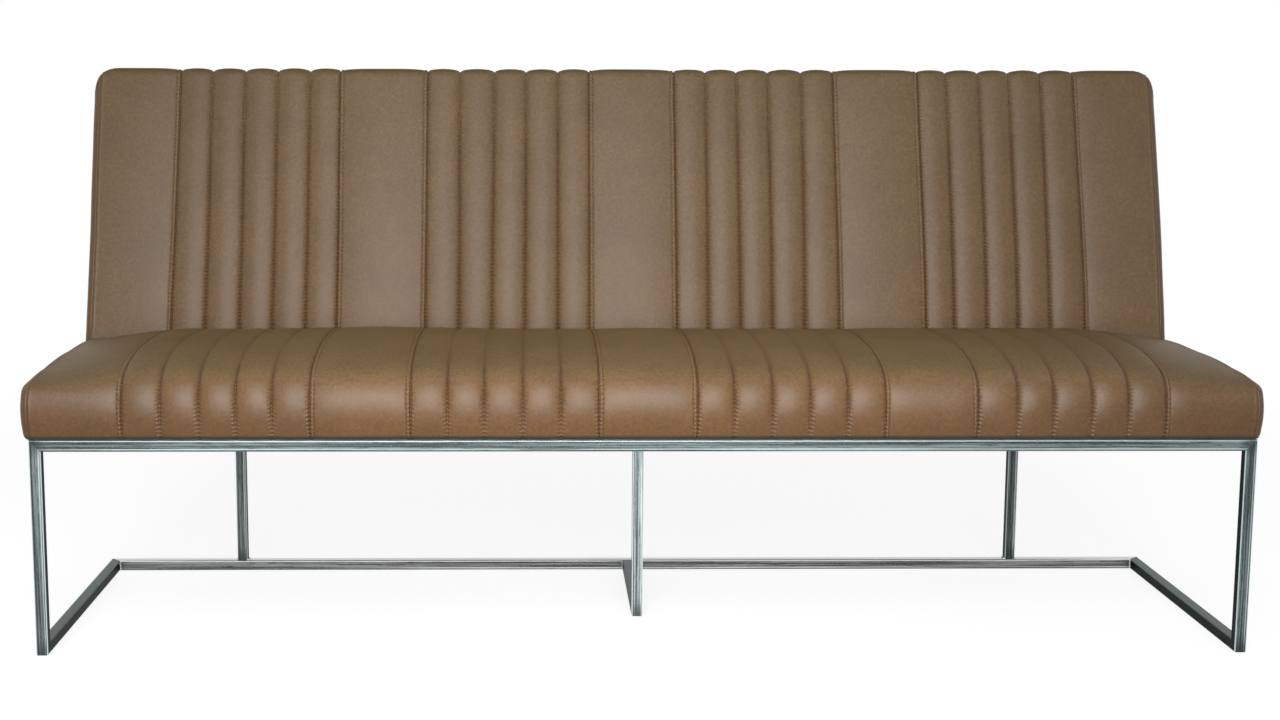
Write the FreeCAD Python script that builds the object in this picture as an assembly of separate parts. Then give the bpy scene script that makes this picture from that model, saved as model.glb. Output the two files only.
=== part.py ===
import FreeCAD, Part
import math
import os

from FreeCAD import Vector

# Upholstered restaurant bench on a welded frame of small square tube.
# Millimetres, +Z up, +X along the bench, the sitter faces -Y.
# The origin is the centre of the whole bench's plan, on the floor.
# While the pieces are worked out, y is 0 at the front face of the front legs.

# Overall sizes
bench_width = 2000.0
bench_height = 951.0
frame_depth = 560.0
frame_height = 356.0
cushion_overhang = 10.0
recline_deg = 15.0

# Square steel tube
tube_size = 19.0
tube_wall = 1.5
tube_ease = 1.6
centre_leg_y = 220.0
upright_set_in = 243.5
back_post_length = 470.0

# Welds, fixing tabs and screws
bead_leg = 3.0
tab_length = 40.0
tab_reach = 24.0
tab_thickness = 3.0
screw_shank_r = 2.4
screw_head_r = 4.7
screw_head_height = 2.6
screw_length = 28.0
screw_clearance = 0.15
screw_tip_room = 2.0
post_bolt_r = 3.0
post_bolt_head_r = 5.5
post_bolt_head_height = 4.0
post_bolt_clearance = 0.2

# Clearances between pieces
fit_gap = 0.3
cushion_gap = 0.5
post_gap = 0.5
overrun = 5.0

# Timber frames
timber_width = 44.0
seat_timber_height = 34.0
seat_cross_width = 70.0
back_timber_depth = 44.0
back_rail_height = 48.0

# Webbing and cloth below the cushions
strap_width = 50.0
strap_thickness = 1.5
strap_overlap = 32.0
cambric_thickness = 0.8
lip_thickness = 1.5
lip_width = 33.0

# Leather covers with their sewn wadding
quilt_depth = 12.0
side_wall = 8.0
rear_wall = 4.0
narrow_channel = 61.0
narrow_valley = 7.0
wide_valley = 5.0

# Seat cushion
seat_front_thickness = 101.0
seat_crown_thickness = 113.0
seat_rear_thickness = 110.0
seat_front_roll = 36.0
seat_rear_ease = 10.0
seat_front_bulge = 3.0
seat_foot_ease = 8.0
seat_end_roll = 20.0
seat_end_fall = 7.0

# Back cushion
back_thickness = 98.0
back_front_roll = 20.0
back_rear_ease = 12.0
back_bulge = 7.0
back_end_roll = 16.0
back_panel_thickness = 4.0
back_rim = 22.0

# Counts and shares
wide_panels = 5
channels_per_group = 5
seat_straps_per_bay = 5
back_straps_per_bay = 4
front_tab_shares = (-0.5, 0.5)
side_tab_share = 0.45
post_bolt_shares = (0.75,)

# Places across a channel from seam to seam, and how far the skin is drawn in there
narrow_place_shares = (0.0, 0.25, 0.5, 0.75)
narrow_draw_shares = (1.0, 0.25, 0.0, 0.25)
wide_place_shares = (0.0, 0.12, 0.5, 0.88)
wide_draw_shares = (1.0, 0.28, 0.0, 0.28)

# A quarter round at a cushion's end, as distances from the end and insets of its radius
end_place_shares = (0.0, 0.3, 1.0)
end_inset_shares = (1.0, 0.286, 0.0)

# Derived levels and planes
recline = math.radians(recline_deg)
half_width = bench_width / 2
half_tube = tube_size / 2
rail_centre_z = frame_height - half_tube
rear_centre_y = frame_depth - half_tube
end_centre_x = half_width - cushion_overhang - half_tube
upright_x = end_centre_x - upright_set_in
timber_z = frame_height + lip_thickness
seat_front_top = frame_height + seat_front_thickness
seat_crown_top = frame_height + seat_crown_thickness
seat_rear_top = frame_height + seat_rear_thickness
seat_front_y = -cushion_overhang
back_foot_y = frame_depth + cushion_overhang - back_thickness / math.cos(recline)
wide_panel = (bench_width - (wide_panels - 1) * channels_per_group * narrow_channel) / wide_panels
back_rise = back_front_roll + (
    bench_height - frame_height - back_front_roll * (1 - math.sin(recline))
) / math.cos(recline)

X_AXIS = Vector(1, 0, 0)
Y_AXIS = Vector(0, 1, 0)
Z_AXIS = Vector(0, 0, 1)


def lean(depth, rise):
    """y and z of a point in the back: depth behind its front plane, rise up its slope."""
    y = back_foot_y + depth * math.cos(recline) + rise * math.sin(recline)
    z = frame_height - depth * math.sin(recline) + rise * math.cos(recline)
    return y, z


def rise_at(depth, level):
    """Distance up the slope at which a depth inside the back reaches a level."""
    return (level - frame_height + depth * math.sin(recline)) / math.cos(recline)


def seat_rear_y(z, inset):
    """y of the seat's rear face, which leans with the back in front of it."""
    gap = cushion_gap + inset
    return back_foot_y + (z - frame_height) * math.tan(recline) - gap / math.cos(recline)


# The bench's plan centre, from the seat's foremost and the back's rearmost skin
rear_edge_y = lean(back_thickness, back_rise - back_rear_ease)[0]
plan_centre_y = (rear_edge_y + seat_front_y - seat_front_bulge) / 2


def save(node, shape):
    """Move a piece from the working frame to the bench's origin and write it."""
    moved = shape.copy()
    moved.translate(Vector(0, -plan_centre_y, 0))
    moved.exportStep("parts/" + node + ".step")


def box(low, high):
    """Box between two opposite corners."""
    size = high - low
    return Part.makeBox(size.x, size.y, size.z, low)


def flat_face(points):
    """Flat face through its corners in order."""
    return Part.Face(Part.makePolygon(points + points[:1]))


def prism(x_low, x_high, outline):
    """Solid with one y-z outline along x."""
    points = [Vector(x_low, y, z) for y, z in outline]
    return flat_face(points).extrude(Vector(x_high - x_low, 0, 0))


def hexagon_prism(centre, along, corner_way, corner_r, height):
    """Hexagon bar such as a bolt head, from its centre along its axis."""
    points = []
    across = along.cross(corner_way)
    for index in range(6):
        angle = math.radians(60 * index)
        offset = corner_way * math.cos(angle) + across * math.sin(angle)
        points.append(centre + offset * corner_r)
    return flat_face(points).extrude(along * height)


def mirrored(shape):
    """The same piece at the bench's other end."""
    return shape.mirror(Vector(0, 0, 0), X_AXIS)


def arc(x, start, middle, stop):
    """Arc in the plane at x through three y-z points."""
    return Part.Arc(Vector(x, *start), Vector(x, *middle), Vector(x, *stop)).toShape()


def line(x, start, stop):
    """Straight edge in the plane at x between two y-z points."""
    return Part.makeLine(Vector(x, *start), Vector(x, *stop))


def quarter(centre, radius, angle_deg):
    """y-z point on a circle, with the angle from +y towards +z."""
    angle = math.radians(angle_deg)
    return centre[0] + radius * math.cos(angle), centre[1] + radius * math.sin(angle)


# Steel frame


def square(half):
    """Corners of a square, as distances to the side and up."""
    return [(half, half), (-half, half), (-half, -half), (half, -half)]


def eased_square(half, ease):
    """Corners of a square whose own corners are cut off by ease."""
    flat = half - ease
    return [
        (half, flat), (flat, half), (-flat, half), (-half, flat),
        (-half, -flat), (-flat, -half), (flat, -half), (half, -flat),
    ]


def bar(start, stop, side, outline, start_slope, stop_slope):
    """Straight bar of one outline; each end plane slopes by its shares of side and up."""
    run = (stop - start).normalize()
    up = run.cross(side)
    rings = []
    for end, slope in ((start, start_slope), (stop, stop_slope)):
        ring = []
        for across, above in outline:
            along = slope[0] * across + slope[1] * above
            ring.append(end + side * across + up * above + run * along)
        rings.append(ring)
    near, far = rings
    faces = [flat_face(near), flat_face(far)]
    for index in range(len(outline)):
        faces.append(flat_face([near[index - 1], near[index], far[index], far[index - 1]]))
    return Part.Solid(Part.Shell(faces))


def square_tube(start, stop, side, start_slope=(0, 0), stop_slope=(0, 0)):
    """Hollow square tube with eased long edges."""
    outer = bar(start, stop, side, eased_square(half_tube, tube_ease), start_slope, stop_slope)
    bore = bar(start, stop, side, square(half_tube - tube_wall), start_slope, stop_slope)
    return outer.cut(bore)


def front_top_rail():
    """Rail over the front legs, mitred to both."""
    left = Vector(-end_centre_x, half_tube, rail_centre_z)
    right = Vector(end_centre_x, half_tube, rail_centre_z)
    return square_tube(left, right, Y_AXIS, (0, -1), (0, 1))


def rear_top_rail():
    """Rail under the back, mitred to the side rails."""
    left = Vector(-end_centre_x, rear_centre_y, rail_centre_z)
    right = Vector(end_centre_x, rear_centre_y, rail_centre_z)
    return square_tube(left, right, Y_AXIS, (-1, 0), (1, 0))


def left_side_rail():
    """Rail from the front corner back to the rear rail's mitre."""
    front = Vector(-end_centre_x, tube_size, rail_centre_z)
    rear = Vector(-end_centre_x, rear_centre_y, rail_centre_z)
    return square_tube(front, rear, X_AXIS, (0, 0), (-1, 0))


def centre_cross_rail():
    """Rail over the centre leg, between the front and rear rails."""
    front = Vector(0, tube_size, rail_centre_z)
    rear = Vector(0, frame_depth - tube_size, rail_centre_z)
    return square_tube(front, rear, X_AXIS)


def left_front_leg():
    """Leg mitred to the front rail above and to the floor runner below."""
    foot = Vector(-end_centre_x, half_tube, half_tube)
    head = Vector(-end_centre_x, half_tube, rail_centre_z)
    return square_tube(foot, head, X_AXIS, (0, 1), (-1, 0))


def left_floor_runner():
    """Tube on the floor from the front leg to the rear floor rail."""
    front = Vector(-end_centre_x, half_tube, half_tube)
    rear = Vector(-end_centre_x, rear_centre_y, half_tube)
    return square_tube(front, rear, X_AXIS, (0, -1), (-1, 0))


def rear_floor_rail():
    """Tube along the floor at the rear, mitred to both end runners."""
    left = Vector(-end_centre_x, rear_centre_y, half_tube)
    right = Vector(end_centre_x, rear_centre_y, half_tube)
    return square_tube(left, right, Y_AXIS, (-1, 0), (1, 0))


def centre_leg():
    """Leg set back under the seat, mitred to its floor runner."""
    foot = Vector(0, centre_leg_y + half_tube, half_tube)
    head = Vector(0, centre_leg_y + half_tube, frame_height - tube_size)
    return square_tube(foot, head, X_AXIS, (0, 1))


def centre_floor_runner():
    """Tube on the floor from the centre leg to the rear floor rail."""
    front = Vector(0, centre_leg_y + half_tube, half_tube)
    rear = Vector(0, frame_depth - tube_size, half_tube)
    return square_tube(front, rear, X_AXIS, (0, -1))


def left_rear_upright():
    """Tube from the rear floor rail up to the rear top rail."""
    foot = Vector(-upright_x, rear_centre_y, tube_size)
    head = Vector(-upright_x, rear_centre_y, frame_height - tube_size)
    return square_tube(foot, head, X_AXIS)


def back_post_line():
    """Foot and head of the left back post's centre line, over the rear upright."""
    foot = Vector(-upright_x, rear_centre_y, frame_height)
    slope = Vector(0, math.sin(recline), math.cos(recline))
    return foot, foot + slope * back_post_length


def left_back_post():
    """Leaning tube inside the back, its foot cut level on the rear top rail."""
    foot, head = back_post_line()
    tube = square_tube(foot, head, X_AXIS, (0, math.tan(recline)))
    for share in post_bolt_shares:
        hole_r = post_bolt_r + post_bolt_clearance
        centre = foot + (head - foot) * share - X_AXIS * tube_size
        tube = tube.cut(Part.makeCylinder(hole_r, tube_size + tube_size, centre, X_AXIS))
    return tube


def back_post_room():
    """Space that the timber and leather leave round the left back post."""
    foot, head = back_post_line()
    below = foot - (head - foot) * (overrun / back_post_length)
    above = head + (head - foot) * (post_gap / back_post_length)
    return bar(below, above, X_AXIS, square(half_tube + post_gap), (0, 0), (0, 0))


def clear_of_posts(shape):
    """Cut both back posts' room out of a piece."""
    room = back_post_room()
    return shape.cut(room).cut(mirrored(room))


def bead(corner, along, first, second):
    """Fillet weld in the corner of two flat tube faces."""
    start = corner - along * (half_tube - tube_ease)
    points = [start, start + first * bead_leg, start + second * bead_leg]
    return flat_face(points).extrude(along * (tube_size - tube_ease - tube_ease))


def bead_pair(centre, across, along, away):
    """Two beads, one on each side of a tube that butts on another."""
    beads = []
    for sign in (1, -1):
        side = across * sign
        beads.append(bead(centre + side * half_tube, along, side, away))
    return beads


def weld_beads():
    """Fillet welds at the butt joints; mitres and flush faces are ground flat."""
    beads = []
    for x in (-upright_x, upright_x):
        foot = Vector(x, rear_centre_y, tube_size)
        head = Vector(x, rear_centre_y, frame_height - tube_size)
        beads += bead_pair(foot, X_AXIS, Y_AXIS, Z_AXIS)
        beads += bead_pair(head, X_AXIS, Y_AXIS, -Z_AXIS)
    for z in (half_tube, rail_centre_z):
        beads += bead_pair(Vector(0, frame_depth - tube_size, z), X_AXIS, Z_AXIS, -Y_AXIS)
    beads += bead_pair(Vector(0, tube_size, rail_centre_z), X_AXIS, Z_AXIS, Y_AXIS)
    leg_head = Vector(0, centre_leg_y + half_tube, frame_height - tube_size)
    beads += bead_pair(leg_head, Y_AXIS, X_AXIS, -Z_AXIS)
    for sign in (1, -1):
        inner = Vector(sign * (end_centre_x - half_tube), tube_size, rail_centre_z)
        beads.append(bead(inner, Z_AXIS, X_AXIS * -sign, Y_AXIS))
    return Part.makeCompound(beads)


def tab_places():
    """Each fixing tab as the middle of its welded edge and the way it reaches."""
    places = []
    for share in front_tab_shares:
        places.append((Vector(share * end_centre_x, tube_size, frame_height), Y_AXIS))
    y = side_tab_share * frame_depth
    for rail_x in (-end_centre_x, 0.0):
        places.append((Vector(rail_x + half_tube, y, frame_height), X_AXIS))
    for rail_x in (0.0, end_centre_x):
        places.append((Vector(rail_x - half_tube, y, frame_height), -X_AXIS))
    return places


def seat_fixing_tabs():
    """Flat tabs welded inside the top rails, each with a screw hole."""
    tabs = []
    for edge, reach in tab_places():
        along = reach.cross(Z_AXIS) * (tab_length / 2)
        near = edge - along - Z_AXIS * tab_thickness
        far = edge + along + reach * tab_reach
        low = Vector(min(near.x, far.x), min(near.y, far.y), near.z)
        high = Vector(max(near.x, far.x), max(near.y, far.y), far.z)
        hole_foot = edge + reach * (tab_reach / 2) - Z_AXIS * (tab_thickness + overrun)
        hole_r = screw_shank_r + screw_clearance
        hole = Part.makeCylinder(hole_r, tab_thickness + overrun + overrun, hole_foot, Z_AXIS)
        tabs.append(box(low, high).cut(hole))
    return Part.makeCompound(tabs)


def screw_seats():
    """Underside of each tab where a screw head bears."""
    drop = Z_AXIS * tab_thickness
    return [edge + reach * (tab_reach / 2) - drop for edge, reach in tab_places()]


def seat_screws():
    """Hexagon-head screws that hold the seat down, heads under the tabs."""
    screws = []
    for seat in screw_seats():
        head = hexagon_prism(seat, -Z_AXIS, X_AXIS, screw_head_r, screw_head_height)
        shank = Part.makeCylinder(screw_shank_r, screw_length, seat, Z_AXIS)
        screws.append(head.fuse(shank).removeSplitter())
    return Part.makeCompound(screws)


def drilled_for_screws(shape):
    """Cut the seat screws' holes in what they pass through."""
    for seat in screw_seats():
        hole_r = screw_shank_r + screw_clearance
        shape = shape.cut(Part.makeCylinder(hole_r, screw_length + screw_tip_room, seat, Z_AXIS))
    return shape


# Seat cushion


def seat_section(x, inset, foot_lift=0.0, fall=0.0, base=frame_height, rear_inset=0.0):
    """Closed y-z outline of the seat at x, its skin drawn in by inset."""
    front = seat_front_y + inset
    base = base + foot_lift
    top_front = seat_front_top - inset - fall
    top_crown = seat_crown_top - inset - fall
    top_rear = seat_rear_top - inset - fall
    roll_centre = (front + seat_front_roll, top_front - seat_front_roll)
    low_rear_z = top_rear - seat_rear_ease
    low_rear = (seat_rear_y(low_rear_z, rear_inset), low_rear_z)
    a = (front + seat_foot_ease, base)
    b = (front, base + seat_foot_ease)
    c = (front, roll_centre[1])
    d = (roll_centre[0], top_front)
    e = (low_rear[0] - seat_rear_ease, top_rear)
    g = (seat_rear_y(base, rear_inset), base)
    face_middle = (front - seat_front_bulge, (b[1] + c[1]) / 2)
    crown_middle = ((d[0] + e[0]) / 2, top_crown)
    edges = [
        line(x, a, b),
        arc(x, b, face_middle, c),
        arc(x, c, quarter(roll_centre, seat_front_roll, 135), d),
        arc(x, d, crown_middle, e),
        line(x, e, low_rear),
        line(x, low_rear, g),
        line(x, g, a),
    ]
    return Part.Wire(edges)


def panel_stations():
    """x, draw-in along the bench, from the first inner seam to the last."""
    stations = []
    x = wide_panel - half_width
    for group in range(wide_panels - 1):
        for channel in range(channels_per_group):
            depths = [narrow_valley * share for share in narrow_draw_shares]
            if channel == 0:
                depths[0] = wide_valley
            for place, depth in zip(narrow_place_shares, depths):
                stations.append((x + place * narrow_channel, depth))
            x += narrow_channel
        if group < wide_panels - 2:
            for place, share in zip(wide_place_shares, wide_draw_shares):
                stations.append((x + place * wide_panel, share * wide_valley))
            x += wide_panel
    stations.append((x, wide_valley))
    return stations


def seat_cover_sections():
    """Outlines of the quilted seat cover from its left end to its right end."""
    ends = []
    for place, inset in zip(end_place_shares, end_inset_shares):
        x = half_width - place * seat_end_roll
        ends.append((x, inset * seat_end_roll, inset * seat_foot_ease, seat_end_fall))
    near_seam = half_width - wide_panel * wide_place_shares[3]
    ends.append((near_seam, wide_draw_shares[3] * wide_valley, 0.0, 0.0))
    sections = [seat_section(-x, inset, lift, fall) for x, inset, lift, fall in ends]
    sections += [seat_section(x, inset) for x, inset in panel_stations()]
    sections += [seat_section(x, inset, lift, fall) for x, inset, lift, fall in reversed(ends)]
    return sections


def seat_inner_form(gap):
    """Solid inside the quilting, smaller by gap, over the whole height of the seat."""
    inset = quilt_depth + gap
    end_x = half_width - side_wall - gap
    shoulder_x = end_x - seat_end_roll
    rear = rear_wall + gap
    end_fall = seat_end_roll + seat_end_fall
    sections = [
        seat_section(-end_x, inset, 0.0, end_fall, timber_z, rear),
        seat_section(-shoulder_x, inset, 0.0, seat_end_fall, timber_z, rear),
        seat_section(shoulder_x, inset, 0.0, seat_end_fall, timber_z, rear),
        seat_section(end_x, inset, 0.0, end_fall, timber_z, rear),
    ]
    return Part.makeLoft(sections, True, True)


seat_front_inner_y = seat_front_y + quilt_depth + fit_gap
seat_rear_inner_y = seat_rear_y(timber_z, rear_wall + fit_gap)
seat_timber_x = half_width - side_wall - fit_gap
seat_timber_top = timber_z + seat_timber_height
seat_foam_base = seat_timber_top + strap_thickness + fit_gap


def seat_timber_zone(gap):
    """Box round the seat's timber frame."""
    x = seat_timber_x + gap
    low = Vector(-x, seat_front_inner_y - gap, timber_z)
    high = Vector(x, seat_rear_inner_y + gap, seat_timber_top + strap_thickness)
    return box(low, high)


def lip_opening(front_y, rear_y, gap):
    """Opening inside the leather that is turned in below a cushion."""
    x = half_width - lip_width - gap
    low = Vector(-x, front_y + lip_width + gap, frame_height - overrun)
    high = Vector(x, rear_y - lip_width - gap, timber_z)
    return box(low, high)


def seat_cover():
    """Leather and quilting over the top, front and ends, turned in below."""
    skin = Part.makeLoft(seat_cover_sections(), True, True)
    skin = skin.cut(seat_inner_form(0.0)).cut(seat_timber_zone(fit_gap))
    rear_y = seat_rear_y(frame_height, 0.0)
    return skin.cut(lip_opening(seat_front_y, rear_y, 0.0))


def seat_foam():
    """Foam block under the quilting, on the webbing."""
    form = seat_inner_form(fit_gap)
    low = Vector(-bench_width, -frame_depth, frame_height - overrun)
    high = Vector(bench_width, frame_depth + frame_depth, seat_foam_base)
    return form.cut(box(low, high))


def seat_front_timber():
    """Front member of the seat's timber frame."""
    low = Vector(-seat_timber_x, seat_front_inner_y, timber_z)
    high = Vector(seat_timber_x, seat_front_inner_y + timber_width, seat_timber_top)
    return drilled_for_screws(box(low, high))


def seat_rear_timber():
    """Rear member of the seat's timber frame."""
    low = Vector(-seat_timber_x, seat_rear_inner_y - timber_width, timber_z)
    high = Vector(seat_timber_x, seat_rear_inner_y, seat_timber_top)
    return drilled_for_screws(box(low, high))


def seat_crosswise_timber(x_low, x_high):
    """Member between the seat's front and rear timbers."""
    low = Vector(x_low, seat_front_inner_y + timber_width, timber_z)
    high = Vector(x_high, seat_rear_inner_y - timber_width, seat_timber_top)
    return drilled_for_screws(box(low, high))


def seat_left_timber():
    """Left end member of the seat's timber frame."""
    return seat_crosswise_timber(-seat_timber_x, timber_width - seat_timber_x)


def seat_cross_centres():
    """x of the seat's cross timbers: one over the centre rail and one in each half."""
    return (-seat_timber_x / 2, 0.0, seat_timber_x / 2)


def seat_cross_timbers():
    """Cross members of the seat's timber frame."""
    half = seat_cross_width / 2
    return Part.makeCompound([seat_crosswise_timber(x - half, x + half) for x in seat_cross_centres()])


def seat_webbing():
    """Elastic straps from front to rear timber, in each bay between the cross timbers."""
    straps = []
    edges = [-seat_timber_x, *seat_cross_centres(), seat_timber_x]
    front_y = seat_front_inner_y + timber_width - strap_overlap
    rear_y = seat_rear_inner_y - timber_width + strap_overlap
    for left, right in zip(edges, edges[1:]):
        pitch = (right - left) / (seat_straps_per_bay + 1)
        for index in range(seat_straps_per_bay):
            x = left + pitch * (index + 1)
            low = Vector(x - strap_width / 2, front_y, seat_timber_top)
            high = Vector(x + strap_width / 2, rear_y, seat_timber_top + strap_thickness)
            straps.append(box(low, high))
    return Part.makeCompound(straps)


def seat_cambric():
    """Black cloth stapled below the seat, inside the turned-in leather."""
    sheet = lip_opening(seat_front_y, seat_rear_y(frame_height, 0.0), fit_gap)
    low = Vector(-bench_width, -frame_depth, 0)
    high = Vector(bench_width, frame_depth + frame_depth, timber_z - cambric_thickness)
    return drilled_for_screws(sheet.cut(box(low, high)))


# Back cushion


def back_section(x, inset, rear_inset=0.0):
    """Closed y-z outline of the back at x, its skin drawn in by inset."""
    top = back_rise - inset
    rear = back_thickness - rear_inset
    foot = lean(inset, rise_at(inset, frame_height))
    face_low = rise_at(inset, seat_rear_top)
    face_top = top - back_front_roll
    bend = lean(inset, face_low)
    face_middle = lean(inset - back_bulge, (face_low + face_top) / 2)
    front_centre = (inset + back_front_roll, face_top)
    front_start = lean(inset, face_top)
    front_middle = lean(*quarter(front_centre, back_front_roll, 135))
    front_stop = lean(front_centre[0], top)
    rear_start = lean(rear - back_rear_ease, top)
    rear_stop = lean(rear, top - back_rear_ease)
    rear_foot = lean(rear, rise_at(rear, frame_height))
    edges = [
        line(x, foot, bend),
        arc(x, bend, face_middle, front_start),
        arc(x, front_start, front_middle, front_stop),
        line(x, front_stop, rear_start),
        line(x, rear_start, rear_stop),
        line(x, rear_stop, rear_foot),
        line(x, rear_foot, foot),
    ]
    return Part.Wire(edges)


def back_cover_sections():
    """Outlines of the quilted back cover from its left end to its right end."""
    ends = []
    for place, inset in zip(end_place_shares, end_inset_shares):
        x = half_width - place * back_end_roll
        ends.append((x, inset * back_end_roll, inset * back_rear_ease))
    near_seam = half_width - wide_panel * wide_place_shares[3]
    ends.append((near_seam, wide_draw_shares[3] * wide_valley, 0.0))
    sections = [back_section(-x, inset, rear) for x, inset, rear in ends]
    sections += [back_section(x, inset) for x, inset in panel_stations()]
    sections += [back_section(x, inset, rear) for x, inset, rear in reversed(ends)]
    return sections


timber_back_depth = back_thickness - back_panel_thickness
timber_front_depth = timber_back_depth - back_timber_depth
back_inner_top = back_rise - quilt_depth
back_timber_x = half_width - side_wall - fit_gap
back_timber_top = back_inner_top - fit_gap


def back_slab(x_low, x_high, front_depth, rear_depth, low_rise, high_rise):
    """Slab in the back; a low_rise of None ends it level at the timber's foot."""
    front_low = rise_at(front_depth, timber_z) if low_rise is None else low_rise
    rear_low = rise_at(rear_depth, timber_z) if low_rise is None else low_rise
    outline = [
        lean(front_depth, front_low),
        lean(rear_depth, rear_low),
        lean(rear_depth, high_rise),
        lean(front_depth, high_rise),
    ]
    return prism(x_low, x_high, outline)


def back_cover():
    """Leather and quilting over the front, top and ends, turned in at the rear and below."""
    skin = Part.makeLoft(back_cover_sections(), True, True)
    x = half_width - side_wall
    cavity = back_slab(-x, x, quilt_depth, timber_back_depth, None, back_inner_top)
    x = half_width - back_rim
    top = back_rise - back_rim
    opening = back_slab(-x, x, quilt_depth, back_thickness + overrun, None, top)
    rear_y = lean(back_thickness, rise_at(back_thickness, frame_height))[0]
    skin = skin.cut(cavity).cut(opening).cut(lip_opening(back_foot_y, rear_y, 0.0))
    return clear_of_posts(skin)


def back_foam():
    """Foam slab between the quilting and the webbing."""
    front = quilt_depth + fit_gap
    rear = timber_front_depth - strap_thickness - fit_gap
    return back_slab(-back_timber_x, back_timber_x, front, rear, None, back_timber_top)


def bottom_timber_top():
    """Rise of the top face of the back's bottom timber."""
    return rise_at(timber_back_depth, timber_z) + back_rail_height


def back_left_stile():
    """Left end member of the back's timber frame."""
    inner_x = timber_width - back_timber_x
    return back_slab(
        -back_timber_x, inner_x, timber_front_depth, timber_back_depth, None, back_timber_top
    )


def back_bottom_timber():
    """Bottom member between the stiles, notched for the steel posts."""
    x = back_timber_x - timber_width
    top = bottom_timber_top()
    return clear_of_posts(back_slab(-x, x, timber_front_depth, timber_back_depth, None, top))


def back_top_timber():
    """Top member between the stiles."""
    x = back_timber_x - timber_width
    low = back_timber_top - back_rail_height
    return clear_of_posts(
        back_slab(-x, x, timber_front_depth, timber_back_depth, low, back_timber_top)
    )


def back_inner_timber(x_low):
    """Upright member between the back's bottom and top timbers."""
    low = bottom_timber_top()
    high = back_timber_top - back_rail_height
    x_high = x_low + timber_width
    return back_slab(x_low, x_high, timber_front_depth, timber_back_depth, low, high)


def post_bolt_starts():
    """Outer face of the left steel post at each bolt."""
    foot, head = back_post_line()
    return [foot + (head - foot) * share - X_AXIS * half_tube for share in post_bolt_shares]


def back_inner_timbers():
    """A centre upright, and one bolted to the inner side of each steel post."""
    left = back_inner_timber(half_tube - upright_x)
    hole_r = post_bolt_r + post_bolt_clearance
    for start in post_bolt_starts():
        length = tube_size + timber_width + overrun
        left = left.cut(Part.makeCylinder(hole_r, length, start, X_AXIS))
    centre = back_inner_timber(-timber_width / 2)
    return Part.makeCompound([left, centre, mirrored(left)])


def back_post_bolts():
    """Bolts through each steel post and the timber beside it, with their nuts."""
    bolts = []
    for start in post_bolt_starts():
        grip = tube_size + timber_width
        nut_foot = start + X_AXIS * grip
        shank = Part.makeCylinder(post_bolt_r, grip, start, X_AXIS)
        head = hexagon_prism(start, -X_AXIS, Z_AXIS, post_bolt_head_r, post_bolt_head_height)
        nut = hexagon_prism(nut_foot, X_AXIS, Z_AXIS, post_bolt_head_r, post_bolt_head_height)
        bolt = shank.fuse(head).fuse(nut).removeSplitter()
        bolts += [bolt, mirrored(bolt)]
    return Part.makeCompound(bolts)


def back_webbing():
    """Elastic straps from bottom to top timber in front of the back's frame."""
    straps = []
    edges = [-back_timber_x, -upright_x, 0.0, upright_x, back_timber_x]
    low = bottom_timber_top() - back_rail_height / 2
    high = back_timber_top - back_rail_height / 2
    for left, right in zip(edges, edges[1:]):
        count = max(1, round(back_straps_per_bay * (right - left) / upright_x))
        pitch = (right - left) / (count + 1)
        for index in range(count):
            x = left + pitch * (index + 1)
            strap = back_slab(
                x - strap_width / 2, x + strap_width / 2,
                timber_front_depth - strap_thickness, timber_front_depth, low, high,
            )
            straps.append(strap)
    return Part.makeCompound(straps)


def back_outer_panel():
    """Leather-covered board that closes the rear, inside the turned-in leather."""
    x = half_width - back_rim - fit_gap
    top = back_rise - back_rim - fit_gap
    return back_slab(-x, x, timber_back_depth, back_thickness, None, top)


def back_cambric():
    """Black cloth below the back, inside the turned-in leather."""
    rear_y = lean(back_thickness, rise_at(back_thickness, frame_height))[0]
    sheet = lip_opening(back_foot_y, rear_y, fit_gap)
    low = Vector(-bench_width, -frame_depth, 0)
    high = Vector(bench_width, frame_depth + frame_depth, timber_z - cambric_thickness)
    return clear_of_posts(sheet.cut(box(low, high)))


def single_pieces():
    """Pieces that there is one of, by node name."""
    return {
        "front_top_rail": front_top_rail(),
        "rear_top_rail": rear_top_rail(),
        "centre_cross_rail": centre_cross_rail(),
        "centre_leg": centre_leg(),
        "centre_floor_runner": centre_floor_runner(),
        "rear_floor_rail": rear_floor_rail(),
        "weld_beads": weld_beads(),
        "seat_fixing_tabs": seat_fixing_tabs(),
        "seat_screws": seat_screws(),
        "seat_front_timber": seat_front_timber(),
        "seat_rear_timber": seat_rear_timber(),
        "seat_cross_timbers": seat_cross_timbers(),
        "seat_webbing": seat_webbing(),
        "seat_foam": seat_foam(),
        "seat_cover": seat_cover(),
        "seat_cambric": seat_cambric(),
        "back_bottom_timber": back_bottom_timber(),
        "back_top_timber": back_top_timber(),
        "back_inner_timbers": back_inner_timbers(),
        "back_post_bolts": back_post_bolts(),
        "back_webbing": back_webbing(),
        "back_foam": back_foam(),
        "back_cover": back_cover(),
        "back_outer_panel": back_outer_panel(),
        "back_cambric": back_cambric(),
    }


def paired_pieces():
    """Left-hand pieces whose mirror image is the right-hand one."""
    return {
        "side_rail": left_side_rail(),
        "front_leg": left_front_leg(),
        "floor_runner": left_floor_runner(),
        "rear_upright": left_rear_upright(),
        "back_post": left_back_post(),
        "seat_end_timber": seat_left_timber(),
        "back_stile": back_left_stile(),
    }


os.makedirs("parts", exist_ok=True)
for node, piece in single_pieces().items():
    save(node, piece)
for node, piece in paired_pieces().items():
    save("left_" + node, piece)
    save("right_" + node, mirrored(piece))
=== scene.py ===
import math

import bpy
import numpy as np
from mathutils import Matrix, Vector, noise


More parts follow.
